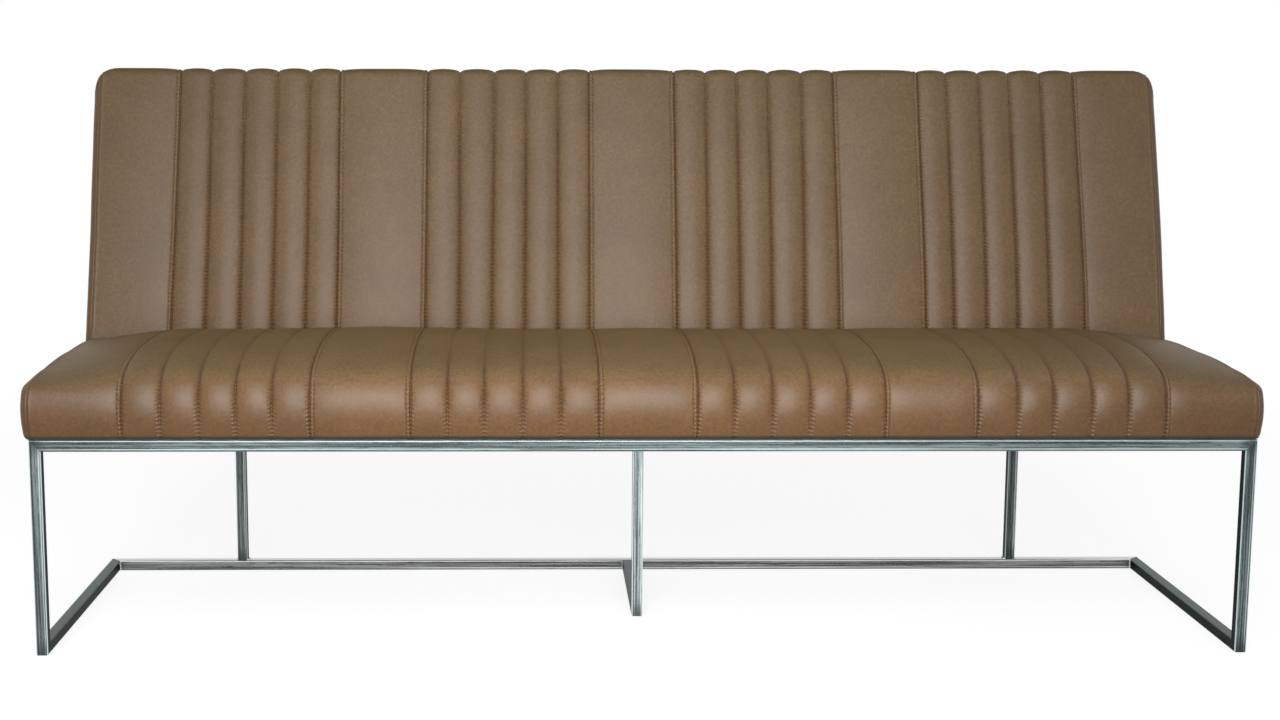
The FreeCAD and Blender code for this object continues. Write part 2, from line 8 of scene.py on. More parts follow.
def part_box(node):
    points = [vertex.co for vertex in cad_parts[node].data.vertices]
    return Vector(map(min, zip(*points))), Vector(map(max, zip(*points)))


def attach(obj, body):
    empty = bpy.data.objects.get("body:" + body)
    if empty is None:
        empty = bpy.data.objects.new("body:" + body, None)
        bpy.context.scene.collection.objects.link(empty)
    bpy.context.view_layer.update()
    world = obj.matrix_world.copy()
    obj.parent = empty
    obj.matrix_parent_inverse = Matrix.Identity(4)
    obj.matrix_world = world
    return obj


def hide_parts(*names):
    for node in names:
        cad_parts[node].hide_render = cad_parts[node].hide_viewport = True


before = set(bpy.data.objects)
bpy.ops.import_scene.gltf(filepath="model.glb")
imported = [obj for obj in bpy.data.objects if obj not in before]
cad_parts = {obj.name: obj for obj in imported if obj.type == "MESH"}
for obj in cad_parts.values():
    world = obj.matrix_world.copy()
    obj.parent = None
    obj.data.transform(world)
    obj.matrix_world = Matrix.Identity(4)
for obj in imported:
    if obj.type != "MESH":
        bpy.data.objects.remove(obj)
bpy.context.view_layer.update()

# Upholstered restaurant bench round its CAD frame: metres, +Z up, the sitter faces -Y.
# A cushion is a grid of columns along the bench and rows round its y-z outline. Pressure in a
# cloth simulation fills it between its seams, and the sewn detail is pressed in afterwards.

# Levels and planes that the CAD cushions keep
half_width = 1.0
foot_z = 0.356
lining_z = 0.3575
seat_front_y = -0.3639
seat_top_z = 0.489
seat_rear_z = 0.475
seat_crown = 0.009
back_foot_y = 0.1146
back_rise = 0.62065
back_thickness = 0.098
recline = math.radians(15)
seat_gap = 0.0022
spine_inset = 0.05

# How the seat's front turns, as distance up the leather and degrees that it faces upward
front_turns = ((0, -16), (0.0355, 0), (0.0546, 8), (0.074, 18), (0.083, 28), (0.094, 44),
               (0.105, 58), (0.118, 68), (0.135, 74), (0.160, 78), (0.190, 81.5), (0.230, 84.5))

# Panels and channels
wide_panels = 5
channels_per_group = 5
narrow_channel = 0.061
narrow_valley = 0.0066
wide_valley = 0.0048
group_width = channels_per_group * narrow_channel
wide_panel = (2 * half_width - (wide_panels - 1) * group_width) / wide_panels

# How far each seam strays along the bench, in millimetres from left to right
seat_stray = (6, 6, 6.5, 4.4, 1.5, 1, 6, 4, 1.7, 3, 2.9, 3, 5.4, 3.5, 4.3, 4, 3.5, 2.8,
              -4.2, -0.4, -3, -1.8, -3.9, -5)
back_foot_stray = (2.2, 3, 4.5, 3.5, 3, -1.3, 4.5, 5.5, 5, 4.5, 4.5, 1.9, 8.8, 6.5, 5.8, 4, 4,
                   6.5, 12, 4, 4, 1.5, 0, 4)
back_top_stray = (6, 3.5, 3.8, 3.2, 2.5, -2.2, 5.3, 4, 7.5, 6.2, 4.8, 2, 7.3, 6.2, 4.3, 3, 5.5,
                  4, 9, 3.5, 4.2, 0.5, 0, 0.5)

# Turned-in leather round the openings
lip_width = 0.033
back_rim = 0.022
leather_thickness = 0.0015

# Sewing
valley_pitch = 0.0070
topstitch_pitch = 0.0079
stitch_length = 0.0044
stitch_radius = 0.0011
topstitch_offset = 0.0065
boxing_seam = 0.0120
groove_half = 0.0011

# Cloth simulation
swell_share = 0.7
swell_cap = 0.006
swell_frames = 20
leather_cloth = {
    "quality": 8, "mass": 0.35, "air_damping": 4, "tension_stiffness": 20,
    "compression_stiffness": 20, "shear_stiffness": 10, "bending_stiffness": 6,
    "tension_damping": 20, "compression_damping": 20, "uniform_pressure_force": 4,
}

# Timber frame, straps and linings inside
timber_width = 0.044
timber_half = 0.9917
foam_half = 0.990
strap_width = 0.050
strap_thickness = 0.0015
strap_z = 0.3923
panel_thickness = 0.004
straps_per_bay = 5

# Square steel tube
tube_size = 0.019
tube_ease = 0.0016
bead_leg = 0.003
frame_height = 0.356
frame_front_y = -0.35393
frame_rear_y = 0.20607
end_centre_x = 0.9805
upright_x = 0.737
centre_leg_y = -0.12443
half_tube = tube_size / 2


# Small geometry helpers


def straight(start, stop, count):
    """Points from start towards stop, the last one left out."""
    share = np.linspace(0, 1, count, endpoint=False)[:, None]
    return np.array(start) * (1 - share) + np.array(stop) * share


def bowed(start, stop, bulge, count):
    """Points on a shallow bow that bulges to the left of its run."""
    share = np.linspace(0, 1, count, endpoint=False)[:, None]
    run = np.array(stop) - np.array(start)
    left = np.array([-run[1], run[0]]) / np.linalg.norm(run)
    return straight(start, stop, count) + left * 4 * share * (1 - share) * bulge


def rounded(centre, radius, first_deg, last_deg, count):
    """Points on an arc, angles from the first axis towards the second."""
    angle = np.radians(np.linspace(first_deg, last_deg, count, endpoint=False))
    ring = np.stack([np.cos(angle), np.sin(angle)], 1)
    return np.array(centre) + ring * radius


def turning(start, turns, count):
    """Points on a smooth run upward from start that faces upward by the given turns."""
    places, degrees = zip(*turns)
    step = places[-1] / count
    facing = np.interp(step * (np.arange(count) + 0.5), places, degrees)
    for _ in range(8):
        facing[1:-1] = (facing[:-2] + 2 * facing[1:-1] + facing[2:]) / 4
    facing = np.radians(facing)
    moves = np.stack([np.sin(facing), np.cos(facing)], 1) * step
    return np.array(start) + np.concatenate([np.zeros((1, 2)), np.cumsum(moves, 0)])


def smooth_step(low, high, value):
    """0 below low, 1 above high, smooth between."""
    share = np.clip((value - low) / (high - low), 0, 1)
    return share * share * (3 - 2 * share)


def bell(value, width):
    """1 at zero, falling to 0 a few widths away."""
    return np.exp(-((value / width) ** 2))


def noise_field(points, scale, seed):
    """Smooth noise from -1 to 1 at each point; scale is cells per metre on each axis."""
    shift = Vector((seed * 7.31, seed * 3.17, seed * 5.73))
    stretched = points.reshape(-1, 3) * np.array(scale)
    values = [noise.noise(Vector(p) + shift) for p in stretched]
    return np.array(values).reshape(points.shape[:-1])


def new_object(name, vertices, faces, smooth=True):
    """Mesh object in the scene from plain lists."""
    mesh = bpy.data.meshes.new(name)
    mesh.from_pydata([tuple(v) for v in vertices], [], faces)
    mesh.validate()
    if smooth:
        mesh.polygons.foreach_set("use_smooth", [True] * len(mesh.polygons))
    thing = bpy.data.objects.new(name, mesh)
    bpy.context.scene.collection.objects.link(thing)
    return thing


def fitted(thing, material, slot, *nodes):
    """Give a piece its material, its body and the nodes that it stands for; the slot is not used.
    """
    thing.data.materials.append(materials[material])
    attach(thing, "root")
    if nodes:
        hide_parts(*nodes)


# Outlines of soft pieces


class Outline:
    """Closed y-z outline, with what the leather does at each point."""

    def __init__(self, spine, *parts):
        """Each part has its points, quilting, end rounding and zone, with quilting and rounding
        as their first and last value. The end caps shrink towards the spine."""
        self.points = np.concatenate([part[0] for part in parts])
        self.quilt, self.roll = (
            np.concatenate([
                np.linspace(*part[kind], len(part[0]), endpoint=False) for part in parts
            ])
            for kind in (1, 2)
        )
        self.zone = np.concatenate([[part[3]] * len(part[0]) for part in parts])
        start, stop = (np.array(p) for p in spine)
        run = stop - start
        share = np.clip((self.points - start) @ run / (run @ run), 0, 1)[:, None]
        self.spine = start + share * run

    def runs(self):
        """Distance along the outline at each point."""
        steps = np.linalg.norm(np.diff(self.points, axis=0), axis=1)
        return np.concatenate([[0], np.cumsum(steps)])


def lean(depth, rise):
    """y and z of points in the back, from their depth behind its face and rise up its slope."""
    y = back_foot_y + depth * math.cos(recline) + rise * math.sin(recline)
    z = foot_z - depth * math.sin(recline) + rise * math.cos(recline)
    return y, z


def leaned(points):
    """Many depth-rise points as y-z points."""
    y, z = lean(points[:, 0], points[:, 1])
    return np.stack([y, z], 1)


def rise_at(depth, level):
    """Distance up the slope at which a depth inside the back reaches a level."""
    return (level - foot_z + depth * math.sin(recline)) / math.cos(recline)


def seat_rear_y(z):
    """y of the seat's rear face, just in front of the leaning back."""
    return back_foot_y + (z - foot_z) * math.tan(recline) - seat_gap / math.cos(recline)


def seat_outline():
    """The seat from its front lip up the face, over the top and down the rear."""
    front, foot, ease = seat_front_y, 0.008, 0.012
    face = turning((0, foot_z + foot), front_turns, 62)
    face[:, 0] += front - face[:, 0].min()
    face[:, 1] += (seat_top_z - face[-1, 1]) * np.linspace(0, 1, len(face))
    rear_low_z = seat_rear_z - ease
    rear_low = (seat_rear_y(rear_low_z), rear_low_z)
    rear_foot = (seat_rear_y(foot_z), foot_z)
    rear_top = (rear_low[0] - ease, seat_rear_z)
    lip_front = (front + lip_width, foot_z)
    lip_rear = (rear_foot[0] - lip_width, foot_z)
    foot_centre = (face[0, 0] + foot, foot_z + foot)
    middle_z = (foot_z + seat_top_z) / 2 + 0.004
    spine = ((front + spine_inset, middle_z), (rear_low[0] - spine_inset, middle_z))
    return Outline(
        spine,
        (straight(lip_front, (foot_centre[0], foot_z), 6), (0, 0), (0.006, 0.008), "lip"),
        (rounded(foot_centre, foot, 270, 196, 8), (0, 0.45), (0.008, 0.013), "foot"),
        (face[:16], (0.45, 1), (0.013, 0.015), "face"),
        (face[16:36], (1, 0.9), (0.015, 0.012), "face"),
        (face[36:-1], (0.9, 0.6), (0.012, 0.012), "face"),
        (bowed(face[-1], rear_top, seat_crown, 40), (0.6, 0.4), (0.012, 0.012), "face"),
        (rounded((rear_top[0], rear_low_z), ease, 90, 15, 6), (0.4, 0.25), (0.012, 0.010), "held"),
        (straight(rear_low, rear_foot, 14), (0.25, 0), (0.010, 0.006), "held"),
        (straight(rear_foot, lip_rear, 4), (0, 0), (0.006, 0.006), "lip"),
        (straight(lip_rear, lip_front, 12), (0, 0), (0.006, 0.006), "open"),
    )


def back_outline():
    """The back from its front lip up the face, over the top and down the rear."""
    foot, roll, ease = 0.006, 0.020, 0.012
    top, rear = back_rise, back_thickness
    face_low = rise_at(0, seat_rear_z)
    face_foot = rise_at(0, foot_z + foot)
    rear_foot = lean(rear, rise_at(rear, foot_z))
    rim_low = rise_at(rear, foot_z + leather_thickness)
    rear_lip = (rear_foot[0] - lip_width, foot_z)
    front_lip = (back_foot_y + lip_width, foot_z)
    foot_centre = (back_foot_y + foot, foot_z + foot)
    low_face = leaned(straight((0, face_foot), (0, face_low), 12))
    face = leaned(bowed((0, face_low), (0, top - roll), 0.007, 84))
    arc = leaned(rounded((roll, top - roll), roll, 180, 90, 10))
    crest = leaned(bowed((roll, top), (rear - ease, top), 0.002, 10))
    rear_arc = leaned(rounded((rear - ease, top - ease), ease, 90, 0, 7))
    rim = leaned(straight((rear, top - ease), (rear, top - back_rim), 3))
    opening = leaned(straight((rear, top - back_rim), (rear, rim_low), 44))
    low = lean(rear / 2, rise_at(rear / 2, foot_z) + spine_inset)
    return Outline(
        (low, lean(rear / 2, top - spine_inset)),
        (straight(front_lip, (foot_centre[0], foot_z), 6), (0, 0), (0.006, 0.006), "lip"),
        (rounded(foot_centre, foot, 270, 165, 6), (0, 0.3), (0.006, 0.012), "foot"),
        (low_face, (0.3, 0.95), (0.012, 0.014), "held"),
        (face, (0.95, 1), (0.014, 0.014), "face"),
        (arc, (1, 0.9), (0.014, 0.008), "face"),
        (crest, (0.9, 0.7), (0.008, 0.008), "face"),
        (rear_arc, (0.7, 0.25), (0.008, 0.012), "face"),
        (rim, (0.25, 0), (0.012, 0.012), "held"),
        (opening, (0, 0), (0.012, 0.012), "open"),
        (straight(rear_foot, rear_lip, 4), (0, 0), (0.006, 0.006), "lip"),
        (straight(rear_lip, front_lip, 6), (0, 0), (0.006, 0.006), "open"),
    )


def block_outline(corners, ease, crowns, steps, spine):
    """Four-sided block: eased corners, each side crowned by its own height."""
    parts = []
    corners = [np.array(c, float) for c in corners]
    for index, corner in enumerate(corners):
        before, after = corners[index - 1], corners[(index + 1) % 4]
        come = (corner - before) / np.linalg.norm(corner - before)
        leave = (after - corner) / np.linalg.norm(after - corner)
        share = np.linspace(0, 1, 5, endpoint=False)[:, None]
        start, stop = corner - come * ease, corner + leave * ease
        bend = start * (1 - share) ** 2 + corner * 2 * share * (1 - share) + stop * share ** 2
        side = bowed(stop, after - leave * ease, crowns[index], steps[index])
        parts += [(points, (0, 0), (ease, ease), "face") for points in (bend, side)]
    return Outline(spine, *parts)


# Columns along the bench


class Columns:
    """Columns from left to right: x, share of the end cap, and the nearest seam."""

    end_steps = (0, 0.0004, 0.0014, 0.003, 0.005, 0.0075, 0.010, 0.0112, boxing_seam, 0.0128,
                 0.014, 0.0165, 0.0205)
    coarse_ends = (0, 0.0014, 0.005, boxing_seam, 0.0205)
    cap_shares = (0.12, 0.26, 0.42, 0.58, 0.74, 0.9)
    fine_steps = (0.0007, 0.0014, 0.0022, 0.0034, 0.0045, 0.0053, 0.0059, topstitch_offset,
                  0.0072, 0.0082, 0.0105)
    coarse_step = 0.0098

    def __init__(self, half, seams=()):
        self.half = half
        self.seams = seams
        inner = self.inner_places()
        ends = [(half - e, 0, e in self.coarse_ends) for e in reversed(self.end_steps)]
        ends += [(half, share, True) for share in self.cap_shares]
        left = [(-x, share, coarse) for x, share, coarse in reversed(ends)]
        places = left + [(x, 0, inner[x]) for x in sorted(inner)] + ends
        self.x = np.array([p[0] for p in places])
        self.cap = np.array([p[1] for p in places])
        self.coarse = np.array([p[2] for p in places])
        self.from_end = half - np.abs(self.x)
        self.find_seams()

    def inner_places(self):
        """x of the columns between the ends, and whether the simulation has them."""
        inner = {}
        edge = self.half - self.end_steps[-1] - 0.004
        knots = [-edge] + [x for x, _ in self.seams] + [edge]
        for left, right in zip(knots, knots[1:]):
            count = max(3, round((right - left) / self.coarse_step))
            for x in np.linspace(left, right, count + 1):
                inner[round(float(x), 6)] = True
        for x, _ in self.seams:
            for step in self.fine_steps:
                for place in (x - step, x + step):
                    if min(abs(place - known) for known in inner) > 0.0004:
                        inner[round(place, 6)] = False
        return inner

    def find_seams(self):
        """Distance to the nearest seam, its wide side, and how far its draw-in reaches here."""
        self.offset = np.full(len(self.x), 1.0)
        self.side = np.zeros(len(self.x))
        self.draw = np.zeros(len(self.x))
        if not self.seams:
            return
        seam_x = np.array([x for x, _ in self.seams])
        seam_side = np.array([side for _, side in self.seams])
        nearest = np.abs(self.x[:, None] - seam_x).argmin(1)
        self.offset = self.x - seam_x[nearest]
        self.side = seam_side[nearest]
        depth = np.where(self.side == 0, narrow_valley, wide_valley)
        in_wide = self.offset * self.side > 0
        half_panel = np.where(in_wide, wide_panel, narrow_channel) / 2
        share = np.clip(1 - np.abs(self.offset) / half_panel, 0, 1)
        pillow = 0.6 * share ** 2 + 0.4 * share ** 5
        self.draw = depth * np.where(in_wide, share ** 4.6, pillow)


def seam_places():
    """x of each seam, and which side its wide panel is on: -1, 1, or 0 between channels."""
    seams = []
    x = wide_panel - half_width
    for group in range(wide_panels - 1):
        for index in range(channels_per_group + 1):
            side = -1 if index == 0 else 1 if index == channels_per_group else 0
            seams.append((x + index * narrow_channel, side))
        x += group_width + wide_panel
    return seams


quilted = Columns(half_width, seam_places())


def section_grid(shape, columns):
    """Points of a soft piece by column and row, its ends rounded and capped."""
    away = shape.spine - shape.points
    inward = away / np.linalg.norm(away, axis=1)[:, None]
    roll = shape.roll[None, :]
    reach = np.clip(1 - columns.from_end[:, None] / roll, 0, 1)
    inset = roll * (1 - np.sqrt(1 - reach ** 2))
    depth = shape.quilt[None, :] * columns.draw[:, None] + inset
    flat = shape.points[None] + inward[None] * depth[..., None]
    flat = flat + (shape.spine[None] - flat) * columns.cap[:, None, None]
    x = np.broadcast_to(columns.x[:, None], flat.shape[:2])
    return np.stack([x, flat[..., 0], flat[..., 1]], 2)


def grid_faces(columns, rows, skip=None):
    """Quads of a grid closed along its rows, and one face over each end."""
    column, row = np.meshgrid(np.arange(columns - 1), np.arange(rows), indexing="ij")
    after = (row + 1) % rows
    quads = np.stack([
        column * rows + row, (column + 1) * rows + row,
        (column + 1) * rows + after, column * rows + after,
    ], 2)
    keep = np.ones(column.shape, bool) if skip is None else ~skip
    faces = [tuple(quad) for quad in quads[keep].tolist()]
    last = (columns - 1) * rows
    faces.append(tuple(range(rows)))
    faces.append(tuple(range(last + rows - 1, last - 1, -1)))
    return faces


def ringed(name, runs, smooth=True):
    """Tubes from rings of points that turn left about their run, both ends capped."""
    vertices, faces = [], []
    for rings in runs:
        grid = np.array(rings)[::-1]
        base = len(vertices)
        faces += [tuple(base + corner for corner in face) for face in grid_faces(*grid.shape[:2])]
        vertices += list(grid.reshape(-1, 3))
    return new_object(name, vertices, faces, smooth)


def normals_of(grid):
    """Unit outward normals of a grid that is closed along its rows."""
    along = np.gradient(grid, axis=0)
    around = (np.roll(grid, -1, 1) - np.roll(grid, 1, 1)) / 2
    out = np.cross(along, around)
    length = np.linalg.norm(out, axis=2, keepdims=True)
    return out / np.maximum(length, 1e-12)


# Fuller sides and rounded corners


def seat_ends(grid):
    """Ends of the seat fullest a little above the middle, lower and drawn in at the top."""
    fullest_z, end_reach = 0.412, 0.19
    y, z = grid[..., 1], grid[..., 2]
    pull = 0.003 * np.clip((fullest_z - z) / 0.05, 0, 1.1) ** 2
    pull += 0.0032 * np.clip((z - fullest_z) / 0.04, 0, 1.3) ** 2
    near = smooth_step(0.05, 0.012, quilted.from_end)[:, None]
    grid[..., 0] -= np.sign(grid[..., 0]) * near * pull
    high = smooth_step(0.430, 0.475, z)
    fall = 0.019 + 0.011 * smooth_step(-0.34, -0.22, y) - 0.009 * smooth_step(-0.1, 0.1, y)
    fall = fall * smooth_step(end_reach, 0, quilted.from_end)[:, None]
    settled = 0.0028 * noise_field(grid * (1, 0, 0), (3.7, 1, 1), 9) * smooth_step(-0.25, 0.05, y)
    grid[..., 2] += high * (settled - fall)
    return grid


def back_corners(grid):
    """Round the back's two upper corners, seen from the front."""
    corner = 0.040
    reach = np.clip(1 - (half_width - np.abs(grid[..., 0])) / corner, 0, 1)
    drop = corner * (1 - np.sqrt(1 - reach ** 2)) * 0.9
    top = lean(0, back_rise)[1]
    share = smooth_step(top - 0.13, top - 0.012, grid[..., 2])
    down = drop * share
    grid[..., 1] -= down * math.sin(recline)
    grid[..., 2] -= down * math.cos(recline)
    return grid


def stray(x, millimetres):
    """How far the leather at x is carried sideways by the seams beside it."""
    knots = [-half_width] + [seam for seam, _ in quilted.seams] + [half_width]
    return np.interp(x, knots, [0, *(value / 1000 for value in millimetres), 0])


def seat_place(grid):
    """The seat sits a little to the left on its frame, with strayed seams."""
    shift = stray(grid[..., 0], seat_stray)
    grid[..., 0] += shift - 0.0019 - 0.0011 * grid[..., 0]
    return grid


def back_place(grid):
    """The back is wider at its foot, more so at its left end, with strayed seams."""
    x, z = grid[..., 0], grid[..., 2]
    high = smooth_step(0.52, 0.88, z)
    shift = stray(x, back_foot_stray) * (1 - high) + stray(x, back_top_stray) * high
    left = smooth_step(0.0, -half_width, x) * (0.0086 + 0.005 * smooth_step(0.68, 0.42, z))
    right = smooth_step(0.0, half_width, x) * (0.001 + 0.004 * smooth_step(0.9, 0.42, z))
    grid[..., 0] += shift + right - left
    return grid


# Cloth simulation of a cushion's leather


def swelling(grid, pinned):
    """Displacement of each grid point when pressure fills the leather between its seams."""
    columns, rows = grid.shape[:2]
    pad = new_object("swelling_cloth", grid.reshape(-1, 3), grid_faces(columns, rows))
    group = pad.vertex_groups.new(name="seams")
    group.add([int(i) for i in np.flatnonzero(pinned.ravel())], 1.0, "REPLACE")
    cloth = pad.modifiers.new("cloth", "CLOTH")
    settings = cloth.settings
    for key, value in leather_cloth.items():
        setattr(settings, key, value)
    settings.use_pressure = True
    settings.vertex_group_mass = "seams"
    settings.effector_weights.gravity = 0
    cloth.collision_settings.use_collision = False
    cloth.point_cache.frame_start = 1
    cloth.point_cache.frame_end = swell_frames
    for step in range(1, swell_frames + 1):
        bpy.context.scene.frame_set(step)
    solved = pad.evaluated_get(bpy.context.evaluated_depsgraph_get())
    points = np.zeros(len(solved.data.vertices) * 3)
    solved.data.vertices.foreach_get("co", points)
    moved = points.reshape(grid.shape) - grid
    bpy.data.objects.remove(pad)
    bpy.context.scene.frame_set(1)
    length = np.linalg.norm(moved, axis=2, keepdims=True)
    return moved * np.minimum(1, swell_cap / np.maximum(length, 1e-9))


def calmed(moved, pinned):
    """The swelling with its small lumps evened out, still nothing at the seams."""
    free = (~pinned)[..., None]
    for _ in range(6):
        moved = (2 * moved + np.roll(moved, 1, 1) + np.roll(moved, -1, 1)) / 4 * free
    return moved


def hermite_weights(known, wanted):
    """Matrix that carries values at known places smoothly to wanted places."""
    count = len(known)
    weights = np.zeros((len(wanted), count))
    slopes = np.zeros((count, count))
    for i in range(count):
        low, high = max(i - 1, 0), min(i + 1, count - 1)
        slopes[i, high] += 1 / (known[high] - known[low])
        slopes[i, low] -= 1 / (known[high] - known[low])
    for row, place in enumerate(wanted):
        i = int(np.clip(np.searchsorted(known, place) - 1, 0, count - 2))
        width = known[i + 1] - known[i]
        t = (place - known[i]) / width
        weights[row, i] += 2 * t ** 3 - 3 * t ** 2 + 1
        weights[row, i + 1] += 3 * t ** 2 - 2 * t ** 3
        weights[row] += (t ** 3 - 2 * t ** 2 + t) * width * slopes[i]
        weights[row] += (t ** 3 - t ** 2) * width * slopes[i + 1]
    return weights


def swollen(grid, shape):
    """The grid after the simulation, which has every second row and the coarse columns."""
    coarse = quilted.coarse
    places = np.sign(quilted.x) * (np.abs(quilted.x) + 0.06 * quilted.cap)
    start = grid[coarse][:, ::2]
    zone = shape.zone[::2][None]
    on_seam = (np.abs(quilted.offset) < 1e-5)[coarse][:, None] & (shape.quilt[::2][None] > 0.2)
    held = (zone == "lip") | (zone == "open") | (zone == "held") | (zone == "foot")
    boxing = (np.abs(quilted.from_end - boxing_seam) < 1e-5)[coarse][:, None]
    last_cap = (quilted.cap == quilted.cap_shares[-1])[coarse][:, None]
    pinned = np.broadcast_to(on_seam | held | boxing | last_cap, start.shape[:2])
    moved = calmed(swelling(start, pinned), pinned) * swell_share
    even = hermite_weights(places[coarse], places) @ moved.reshape(len(start), -1)
    even = even.reshape(len(places), -1, 3)
    full = np.zeros_like(grid)
    full[:, ::2] = even
    beside = even + np.roll(even, -1, 1)
    beyond = np.roll(even, 1, 1) + np.roll(even, -2, 1)
    full[:, 1::2] = (9 * beside - beyond) / 16
    return grid + full


# Seams pressed into the leather


def seam_relief():
    """Height of the sewn detail by column: groove, folded edge, topstitch dip."""
    towards_wide = quilted.offset * quilted.side
    valley = -0.0007 * bell(quilted.offset, 0.0016)
    folded = smooth_step(0.0008, 0.0022, towards_wide) * smooth_step(0.0066, 0.0052, towards_wide)
    fold = 0.0008 * folded - 0.0015 * bell(towards_wide, groove_half)
    fold -= 0.0007 * bell(towards_wide - topstitch_offset, 0.0012)
    return np.where(quilted.side == 0, valley, fold)


def boxing_relief():
    """Height of the corner seam between a cushion's panel and its end strip."""
    offset = quilted.from_end - boxing_seam
    seam = 0.0009 * bell(offset - 0.0022, 0.0014) - 0.0014 * bell(offset, groove_half)
    return np.where(quilted.cap > 0, 0, seam)


def sewn(grid, shape):
    """The grid with its seams pressed in and the leather slightly uneven."""
    out = normals_of(grid)
    visible = np.isin(shape.zone, ("face", "foot")).astype(float)[None]
    sewing = np.clip(shape.quilt * 2.5, 0, 1)[None]
    height = seam_relief()[:, None] * sewing + boxing_relief()[:, None] * visible
    pucker = noise_field(grid, (60, 95, 95), 3)
    beside = bell(np.abs(quilted.offset) - 0.008, 0.006)[:, None]
    height += 0.0003 * pucker * beside * sewing
    clear_of_seam = smooth_step(0, 0.03, np.abs(quilted.offset))[:, None]
    height += 0.0006 * noise_field(grid, (7, 9, 9), 5) * visible * clear_of_seam
    return grid + out * height[..., None]


def crease_shade_values(shape, grid):
    """Painted shade in the leather: in seams, on the slopes beside them, along the boxing seam and
    end strips, and along the foot.
    """
    offset, side = quilted.offset, quilted.side
    valley = 0.22 * bell(offset, 0.006) + 0.1 * bell(offset, 0.0015)
    shown = smooth_step(0.4, 0.85, shape.quilt) * smooth_step(0.93, 0.78, shape.points[:, 1])
    valley = valley[:, None] * shown[None]
    narrow_slope = np.where(offset * side < 0, bell(offset, 0.006), 0)
    boundary = 0.55 * bell(offset, 0.0010) + 0.2 * narrow_slope
    sewing = smooth_step(0.1, 0.6, shape.quilt)[None]
    crease_shade = np.where(side[:, None] == 0, valley, boundary[:, None] * sewing)
    corner = np.where(quilted.cap == 0, bell(quilted.from_end - boxing_seam, 0.0012), 0)
    strip = smooth_step(boxing_seam, boxing_seam - 0.002, quilted.from_end)
    steep = smooth_step(0.9, 0.5, np.abs(normals_of(grid)[..., 2]))
    ends = np.maximum(0.7 * corner, 0.35 * strip)[:, None] * steep
    low = smooth_step(0.012, 0.003, shape.points[:, 1] - foot_z)
    low *= np.isin(shape.zone, ("foot", "lip"))
    return np.maximum(np.maximum(crease_shade, ends), low[None])


def fold_highlight_values(shape):
    """Painted highlight: paler on the folded edge beside each wide panel's seam."""
    towards_wide = quilted.offset * quilted.side
    ridge = smooth_step(0.0010, 0.0020, towards_wide) * smooth_step(0.0060, 0.0050, towards_wide)
    return ridge[:, None] * smooth_step(0.1, 0.5, shape.quilt)[None]


def cushion_skin(name, grid, shape, opening_x):
    """Leather skin with its openings and thickness, and what its material reads."""
    columns, rows = grid.shape[:2]
    inside = np.abs(quilted.x) < opening_x
    between = inside[:-1] & inside[1:]
    skip = between[:, None] & (shape.zone == "open")[None]
    skin = new_object(name, grid.reshape(-1, 3), grid_faces(columns, rows, skip))
    values = {
        "crease_shade": crease_shade_values(shape, grid),
        "fold_highlight": fold_highlight_values(shape),
        "seam_distance": np.broadcast_to(np.abs(quilted.offset)[:, None], (columns, rows)),
        "seam_run": np.broadcast_to(shape.runs()[None], (columns, rows)),
    }
    for key, value in values.items():
        attribute = skin.data.attributes.new(key, "FLOAT", "POINT")
        attribute.data.foreach_set("value", value.ravel().astype(np.float32))
    shell = skin.modifiers.new("thickness", "SOLIDIFY")
    shell.thickness = leather_thickness
    shell.offset = -1
    return skin


def stitch_runs(grid, shape):
    """Points, normals and pitch along each stitched line; tight valleys hide their stitches."""
    out = normals_of(grid)
    rows = np.flatnonzero((shape.zone == "face") | (shape.zone == "foot"))
    runs = []
    closed = (shape.quilt[rows] < 0.85) | (shape.points[rows, 1] > 0.84)
    for x, side in quilted.seams:
        column = int(np.abs(quilted.x - (x + side * topstitch_offset)).argmin())
        pitch = topstitch_pitch if side else valley_pitch
        shown = rows if side else rows[~closed]
        runs.append((grid[column, shown], out[column, shown], pitch))
    return runs


def stitch(here, ahead, up):
    """Rings of one thread capsule that lies at a point of a seam."""
    along = (ahead - here) / np.linalg.norm(ahead - here)
    across = np.cross(along, up)
    across /= np.linalg.norm(across)
    up = np.cross(across, along)
    angles = [2 * math.pi * (k + 0.5) / 5 for k in range(5)]
    spokes = [up * math.sin(angle) - across * math.cos(angle) for angle in angles]
    rings = []
    for share, radius in ((-0.5, 0.3), (-0.3, 1.0), (0.3, 1.0), (0.5, 0.3)):
        sink = (0.1 + abs(share)) * stitch_radius
        middle = here + along * share * stitch_length - up * sink
        rings.append([middle + spoke * radius * stitch_radius for spoke in spokes])
    return rings


def stitches(name, runs):
    """Stitches laid end to end along the runs."""
    laid = []
    for points, out, pitch in runs:
        steps = np.linalg.norm(np.diff(points, axis=0), axis=1)
        length = np.concatenate([[0], np.cumsum(steps)])
        for place in np.arange(pitch, length[-1] - pitch, pitch):
            laid.append(stitch(*(
                np.array([np.interp(at, length, source[:, k]) for k in range(3)])
                for at, source in ((place, points), (place + 0.001, points), (place, out))
            )))
    return ringed(name, laid)


# Node materials


